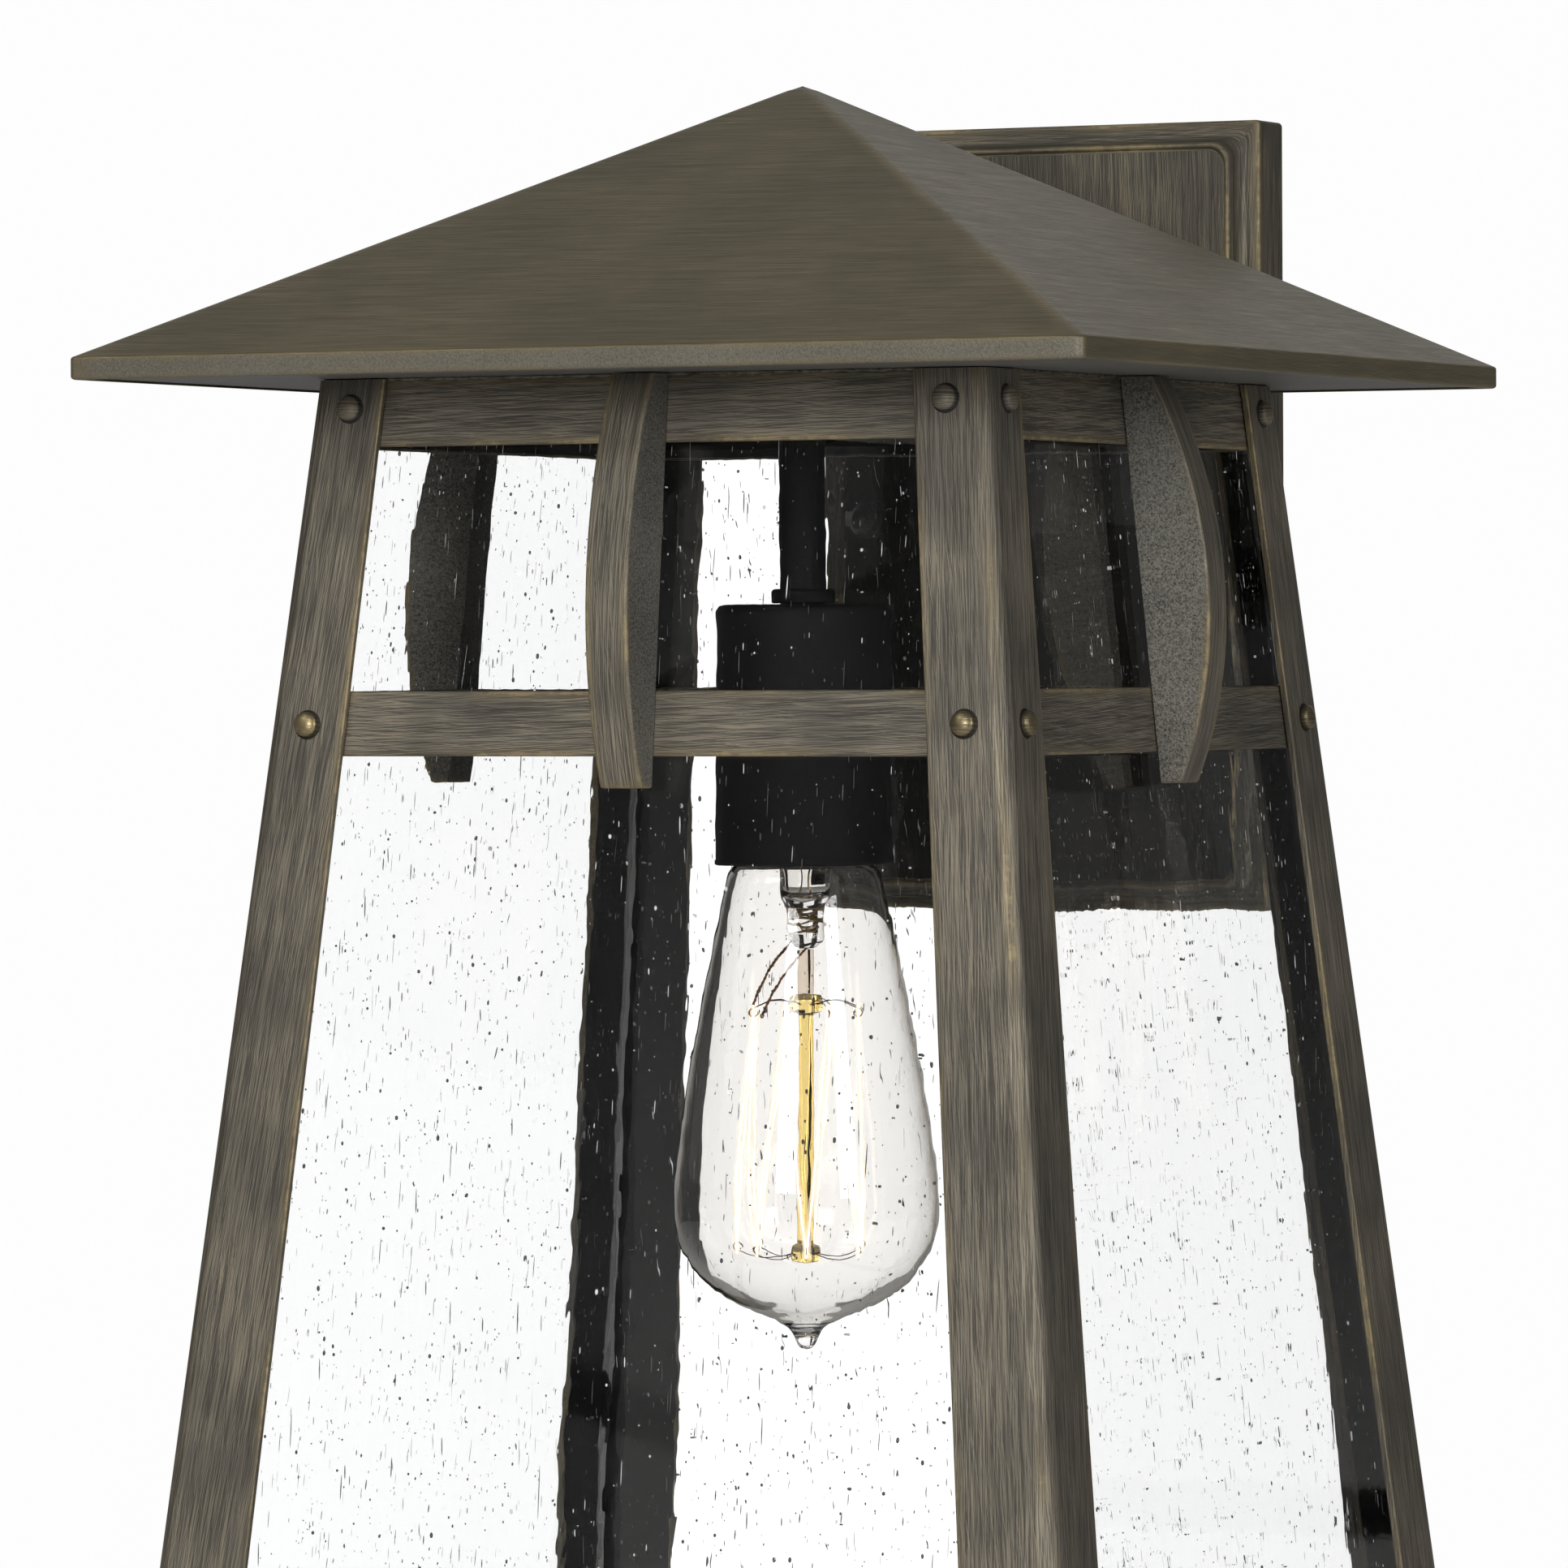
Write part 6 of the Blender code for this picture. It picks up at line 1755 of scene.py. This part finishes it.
@dataclass(frozen=True)
class Lamp:
    """The filament lamp: screw base, teardrop glass, amber support and a cage of lit strands."""

    shape: BodyShape
    base_depth: float = 85.2 * MM
    base_height: float = 20.0 * MM
    base_radius: float = 13.0 * MM
    pitch: float = 3.63 * MM
    thread_swell: float = 0.32 * MM
    wall: float = 0.7 * MM
    hubs: tuple[float, float] = (149.0 * MM, 209.0 * MM)
    rings: tuple[float, float] = (13.4 * MM, 16.6 * MM)
    strands: int = 14

    def build(self, palette: Palette) -> None:
        """Builds the base, the glass, the support, the cage and the wires."""
        self.base(palette)
        self.envelope(palette)
        self.support(palette)
        self.cage(palette)
        self.wires(palette)

    def base(self, palette: Palette) -> None:
        """The rolled thread: the radius swells with the sine of the height less the turn."""
        angle = circle(72)[None]
        height = np.linspace(2.6 * MM, self.base_height - 1.5 * MM, 110)[:, None]
        swell = np.clip(np.minimum(height - height[0], height[-1] - height) / (1.2 * MM), 0, 1)
        wave = np.sin(2 * math.pi * height / self.pitch - angle)
        radius = self.base_radius - self.thread_swell + self.thread_swell * wave * swell

        def ring(r: Array | float, h: Array | float) -> Array:
            """Rings of the base at a radius and a height below its top."""
            return np.stack([r * np.cos(angle), r * np.sin(angle), -h - self.base_depth + 0 * angle], -1)

        neck = self.base_radius * 0.7
        bore = self.base_radius - 0.8 * MM
        foot = self.base_height
        rows = [
            ring(neck, 0.0), ring(self.base_radius - 0.9 * MM, 1.2 * MM), ring(radius, height),
            ring(self.base_radius - 0.2 * MM, foot), ring(bore, foot), ring(bore, 3.0 * MM),
            ring(neck, 1.2 * MM), ring(neck, 0.0),
        ]
        skin = Skin()
        skin.add_grid(np.concatenate(rows) + self.shape.axis, wrap=True)
        show(
            "threaded_base", skin, palette.nickel, ("bulb_base",), body=Body.BULB, slot="nickel_shell",
            sharp=35.0
        )

    def envelope(self, palette: Palette) -> None:
        """The teardrop wall: a smooth outline turned, and the same outline a wall's thickness inside."""
        outer = smooth_profile(np.array(TEARDROP) * MM, 5)
        slope = np.gradient(outer, axis=0)
        normal = np.stack([slope[:, 1], -slope[:, 0]], 1)
        normal /= np.linalg.norm(normal, axis=1, keepdims=True)
        thick = np.where(outer[:, 1] < 226 * MM, self.wall, self.wall * 1.2)[:, None]
        inner = outer - normal * thick
        inner = inner[(inner[:, 0] > 0.6 * MM) & (inner[:, 1] < 226.5 * MM)]
        tip = np.array([[1.2, 231.7], [0.0, 232.0]]) * MM
        inner_tip = np.array([[0.0, 226.9]]) * MM
        profile = np.concatenate([outer, tip, inner_tip, inner[::-1], outer[:1]])
        profile = profile * DOWN
        gap = len(outer) + len(tip)
        walls = [profile[:gap], profile[gap:]]
        self.show_glass("teardrop_glass", walls, 96, palette.bulb_glass, nodes=("bulb_glass",), sharp=60.0)

    def show_glass(
        self, name: str, profiles: list[Array], steps: int, material: Material, **rest: Any
    ) -> None:
        """A turned piece of glass that rides on the lamp."""
        show_turned(
            name, profiles, self.shape.axis, steps, material, body=Body.BULB, slot="bulb_glass", **rest
        )

    def support(self, palette: Palette) -> None:
        """The flared glass stem with its pinched press, then the amber rod between its two buttons."""
        outer = smooth_profile(np.array(STEM) * MM, 4)
        bore = smooth_profile(np.array(STEM_BORE) * MM, 4)
        foot = np.concatenate([outer[-1:], [[0.0, outer[-1, 1]]]])
        walls = [part * DOWN for part in (outer, np.concatenate([outer[:1], bore]), foot)]
        self.show_glass("glass_stem", walls, 40, palette.stem_glass, nodes=("bulb_stem",))
        upper, lower = (h / MM for h in self.hubs)
        clear = smooth_profile(np.array([[1.95, 135.9], [1.9, 140.0], [1.85, upper - 2.6]]) * MM, 4)
        amber = smooth_profile(np.array([
            [2.2, upper - 2.4], [3.7, upper - 1.9], [4.0, upper], [3.7, upper + 1.7], [2.3, upper + 2.4],
            [1.9, upper + 3.4],
            [1.95, 170.0], [1.9, 190.0], [1.9, lower - 3.4], [2.3, lower - 2.4], [3.2, lower - 1.7],
            [3.5, lower],
            [3.1, lower + 1.8], [1.4, lower + 2.2],
        ]) * MM, 4)
        rods = {"clear_rod": (palette.clear_rod, clear), "amber_rod": (palette.amber, amber)}
        for name, (glass, profile) in rods.items():
            ends = [[[0.0, profile[0, 1]]], profile, [[0.0, profile[-1, 1] + 0.2 * MM]]]
            self.show_glass(name, [np.concatenate(ends) * DOWN], 32, glass, sharp=60.0)
        self.press_metal(palette)

    def press_metal(self, palette: Palette) -> None:
        """The crumpled metal in the press: a wound wire whose radius and height wander."""
        turn = np.linspace(0, 2 * math.pi * 5.5, 150)
        share = turn / turn[-1]
        reach = (2.4 + 0.9 * np.sin(turn * 0.37 + 0.6) + 0.4 * np.sin(turn * 2.3)) * MM
        drop = (124.9 + 6.6 * share + 0.7 * np.sin(turn * 1.7)) * MM
        path = np.stack([reach * np.cos(turn), reach * np.sin(turn), -drop], 1) + self.shape.axis
        skin = Skin()
        tube(skin, path, 0.30 * MM + 0.1 * MM * np.sin(turn * 3.1), 6, (0.05, 0.08, 0.99))
        for x, y in ((-1.6, 0.5), (1.5, -0.6)):
            rise = np.linspace(104.0, 123.4, 20)
            bend = 0.5 * np.sin(rise * 0.45 + x)
            path = np.stack([x + bend, y + 0 * rise, -rise], 1) * MM + self.shape.axis
            tube(skin, path, 0.22 * MM, 6)
        show("press_wires", skin, palette.press, body=Body.BULB, slot="filament")

    def ring_spot(self, number: Array | float, level: int) -> Array:
        """Where a support hook stands round its ring, evenly and in turn on the two rings."""
        angle = 2 * math.pi * np.asarray(number, float) / (self.strands + 1.5) + 0.7
        radius = self.rings[level]
        return np.stack([radius * np.cos(angle), radius * np.sin(angle), -self.hubs[level] + 0 * angle], -1)

    def cage(self, palette: Palette) -> None:
        """Strands that run between the hooks and bow outwards by a sine of the way down."""
        core, halo = Skin(), Skin()
        share = np.linspace(0, 1, 22)[:, None]
        for number in range(self.strands):
            top = self.ring_spot(number + number % 2, 0)
            low = self.ring_spot(number + 1 - number % 2, 1)
            path = top * (1 - share) + low * share
            reach = np.linalg.norm(path[:, :2], axis=1, keepdims=True)
            bow = 1 + (0.05 + 0.04 * (number % 3)) * np.sin(math.pi * share**1.6)
            path = np.concatenate([path[:, :2] / reach * (reach * bow), path[:, 2:]], 1) + self.shape.axis
            tube(core, path, 0.2 * MM, 6)
            tube(halo, path, 0.62 * MM, 8)
        show("lit_strands", core, palette.filament, ("bulb_filament",), body=Body.BULB, slot="filament")
        show("strand_glow", halo, palette.halo, body=Body.BULB, slot="filament")

    def wires(self, palette: Palette) -> None:
        """The fine hooks out of both buttons, and the two twisted leads down from the press."""
        hooks = Skin()
        share = np.linspace(0, 1, 14)[:, None]
        for level, rise in ((0, 1.0), (1, -1.0)):
            for number in range(level, self.strands + 1, 2):
                end = self.ring_spot(number, level)
                start = end * [0.2, 0.2, 1.0]
                path = start * (1 - share) + end * share
                lift = rise * 1.4 * MM * np.sin(math.pi * share) - rise * 0.8 * MM * share
                path = path + np.concatenate([0 * share, 0 * share, lift], 1)
                curl = np.linspace(0, 1.6 * math.pi, 12)[:, None]
                out = end[:2] / np.linalg.norm(end[:2])
                side = 1.0 * MM * np.sin(curl)
                tail = path[-1] + np.concatenate([out * side, -rise * 1.0 * MM * (1 - np.cos(curl))], 1)
                tube(
                    hooks, np.concatenate([path, tail[1:]]) + self.shape.axis, 0.13 * MM, 5,
                    (0.11, 0.17, 0.98)
                )
        show("support_hooks", hooks, palette.hook_wire, body=Body.BULB, slot="filament")
        leads = Skin()
        fine = np.linspace(0, 1, 60)[:, None]
        beads = Skin()
        for start, end in (
            ((-3.4, -1.6, -134.0), (-11.0, -7.6, -151.0)), ((1.6, -2.6, -135.4), (-6.0, -11.6, -151.5))
        ):
            line = (np.array(start) * (1 - fine) + np.array(end) * fine) * MM
            line = line + np.array([-0.9, 0.0, 0.9]) * MM * np.sin(math.pi * fine)
            bead = np.array([[0.0, 0.7], [0.45, 0.45], [0.6, 0.0], [0.45, -0.45], [0.0, -0.7]]) * MM
            lathe(beads, bead[::-1] * DOWN, self.shape.axis + line[-1], 10)
            for phase in (0.0, math.pi):
                twist = fine * 2 * math.pi * 9 + phase
                offset = np.concatenate([np.cos(twist), np.sin(twist), 0 * twist], 1) * 0.22 * MM
                tube(leads, line + offset + self.shape.axis, 0.2 * MM, 5, (0.1, 0.9, 0.3))
        show("twisted_leads", leads, palette.lead_wire, body=Body.BULB, slot="filament")
        show("lead_beads", beads, palette.press, body=Body.BULB, slot="filament")


# ---- pieces kept from the frame ----
class KeptPieces:
    """Dresses the frame's own pieces whose shape is already right."""

    def __init__(self, palette: Palette) -> None:
        """Pairs each node with its finish."""
        self.finishes: dict[str, Material] = {
            "roof_soffit": palette.soffit,
            "glass_ledge": palette.soffit,
            "wall_gasket": palette.rubber,
            "mounting_bar": palette.steel,
            "mounting_stud_left": palette.steel,
            "mounting_stud_right": palette.steel,
            "stem_nut": palette.steel,
            "cup_nut": palette.steel,
            "cap_nut_left": palette.cap,
            "cap_nut_right": palette.cap,
            "ground_screw": palette.brass,
            "socket_thread_shell": palette.brass,
            "socket_contact": palette.brass,
            "socket_body": palette.porcelain,
            "bulb_contact": palette.nickel,
            "bulb_insulator": palette.black,
            "lead_black": palette.black,
            "lead_white": palette.white_lead,
            "lead_ground": palette.copper,
        }

    def dress(self) -> None:
        """Gives each node its material."""
        for name, material in self.finishes.items():
            node = frame["nodes"][name]
            node.data.materials.clear()
            node.data.materials.append(material)
            log.info("%s keeps its shape", name)


# ---- studio ----
@dataclass(frozen=True)
class Studio:
    """A pale floor, a bright backdrop, soft lights and the camera."""

    shape: BodyShape
    azimuth: float = 25.234
    distance: float = 2.111546
    drop: float = 0.065675
    pitch: float = -0.754
    roll: float = -0.281
    lens: float = 201.77
    shift: tuple[float, float] = (-0.01401, -0.00662)
    floor_drop: float = 0.9
    floor_radius: float = 5.4
    backdrop: float = 0.985
    backdrop_through_glass: float = 1.4
    glow_behind: float = 0.45
    glow_above: float = 0.15
    glow_around: float = 0.05

    def build(self, palette: Palette) -> None:
        """Sets up the whole studio."""
        self.floor(palette)
        self.world()
        self.light("key_light", (-1.1, -2.0, 1.75), 1.2, 15.0, (1.0, 0.985, 0.96))
        self.light("front_light", (0.35, -2.6, 0.45), 0.8, 36.0, (1.0, 0.99, 0.97))
        self.light("fill_light", (2.3, -1.3, 0.42), 1.0, 30.0, (0.99, 0.99, 1.0))
        self.camera()
        scene = bpy.context.scene
        scene.view_settings.view_transform = "Standard"
        scene.view_settings.look = "None"

    def floor(self, palette: Palette) -> None:
        """A pale disc well below the lantern."""
        skin = Skin()
        radius = np.linspace(0.0, self.floor_radius, 12)
        profile = np.stack([radius, np.full(len(radius), -self.floor_drop)], 1)
        lathe(skin, profile, np.array([0.0, self.shape.axis[1], 0.0]), 96)
        mesh = skin.mesh("floor", 1e-6, 50.0)
        bm = bmesh.new()
        bm.from_mesh(mesh)
        if sum(face.normal.z for face in bm.faces) < 0:
            bmesh.ops.reverse_faces(bm, faces=bm.faces)
        bm.to_mesh(mesh)
        bm.free()
        floor = bpy.data.objects.new("floor", mesh)
        mesh.materials.append(palette.floor)
        add_to_scene(floor)

    def world(self) -> None:
        """A white backdrop, bright where it is seen and softer, dimmer behind, where it lights."""
        world = bpy.data.worlds.new("studio")
        bpy.context.scene.world = world
        world.use_nodes = True
        g = Graph(world.node_tree)
        for node in list(world.node_tree.nodes):
            world.node_tree.nodes.remove(node)
        paths = g.node("ShaderNodeLightPath").outputs
        bounced = g.plus(paths["Diffuse Depth"], paths["Glossy Depth"])
        straight = g.math("LESS_THAN", bounced, 0.5)
        seen = g.math("MAXIMUM", paths["Is Camera Ray"], g.times(paths["Is Transmission Ray"], straight))
        direction = g.node("ShaderNodeTexCoord").outputs["Generated"]

        def toward(x: float, y: float, z: float) -> Socket:
            """How closely the ray follows a direction: the cosine of the angle between them."""
            dot = g.node("ShaderNodeVectorMath", operation="DOT_PRODUCT")
            g.feed(dot.inputs[0], direction)
            dot.inputs[1].default_value = (x, y, z)
            return dot.outputs["Value"]

        behind = g.span(toward(-0.40, 0.86, 0.32), 0.76, 0.97, 0.0, self.glow_behind)
        above = g.span(toward(0.0, 0.0, 1.0), 0.25, 0.9, 0.0, self.glow_above)
        lighting = g.plus(g.plus(behind, above), self.glow_around)
        shown = g.node("ShaderNodeBackground")
        strength = g.span(paths["Is Camera Ray"], 0.0, 1.0, self.backdrop_through_glass, self.backdrop)
        g.feed(shown.inputs["Strength"], strength)
        shown.inputs["Color"].default_value = (1.0, 1.0, 1.0, 1.0)
        lit = g.node("ShaderNodeBackground")
        lit.inputs["Color"].default_value = (1.0, 0.995, 0.985, 1.0)
        g.feed(lit.inputs["Strength"], lighting)
        mix = g.node("ShaderNodeMixShader")
        g.feed(mix.inputs[0], seen)
        g.feed(mix.inputs[1], lit.outputs[0])
        g.feed(mix.inputs[2], shown.outputs[0])
        g.feed(g.node("ShaderNodeOutputWorld").inputs["Surface"], mix.outputs[0])

    def light(self, name: str, place: Triple, size: float, power: float, color: Triple) -> None:
        """A square soft light that faces the body.

        Args:
            name: the light's name.
            place: where it stands, from the top of the body's axis.
            size: its side.
            power: in watts.
            color: its tint.
        """
        data = bpy.data.lights.new(name, "AREA")
        data.shape = "SQUARE"
        data.size = size
        data.energy = power
        data.color = color
        lamp = bpy.data.objects.new(name, data)
        target = Vector(self.shape.axis) + Vector((0.0, 0.0, -0.1))
        lamp.location = Vector(self.shape.axis) + Vector(place)
        lamp.rotation_euler = (target - lamp.location).to_track_quat("-Z", "Y").to_euler()
        add_to_scene(lamp)

    def camera(self) -> None:
        """A long lens a little below the eave, turned towards the right-hand side.

        The camera stands at an azimuth and a distance from the axis. Pitch tilts its view up from
        level, and roll turns it about its own view.
        """
        turn, pitch, roll = (math.radians(a) for a in (self.azimuth, self.pitch, self.roll))
        right = Vector((math.cos(turn), math.sin(turn), 0.0))
        ahead = Vector((-math.sin(turn), math.cos(turn), 0.0))
        up = Vector((0.0, 0.0, 1.0))
        view = ahead * math.cos(pitch) + up * math.sin(pitch)
        over = up * math.cos(pitch) - ahead * math.sin(pitch)
        x_axis = right * math.cos(roll) + over * math.sin(roll)
        y_axis = over * math.cos(roll) - right * math.sin(roll)
        data = bpy.data.cameras.new("camera")
        data.sensor_width = 36.0
        data.lens = self.lens
        data.shift_x, data.shift_y = self.shift
        data.clip_end = 50.0
        camera = bpy.data.objects.new("camera", data)
        spot = Vector(self.shape.axis) - ahead * self.distance - up * self.drop
        columns = Matrix((x_axis, y_axis, -view)).transposed()
        camera.matrix_world = Matrix.Translation(spot) @ columns.to_4x4()
        add_to_scene(camera)
        bpy.context.scene.camera = camera


def main() -> None:
    """Builds the lantern piece by piece, then the studio round it."""
    logging.basicConfig(level=logging.INFO, format="%(name)s %(message)s")
    palette = Palette()
    shape = BodyShape.from_frame()
    for part in (Roof(shape), Legs(shape), Rails(shape), Brackets(shape), Rivets(shape), Glazing(shape)):
        part.build(palette)
    for part in (WallPlate(), Arm(shape), Lampholder(shape), Lamp(shape)):
        part.build(palette)
    KeptPieces(palette).dress()
    Studio(shape).build(palette)


if __name__ == "__main__":
    main()
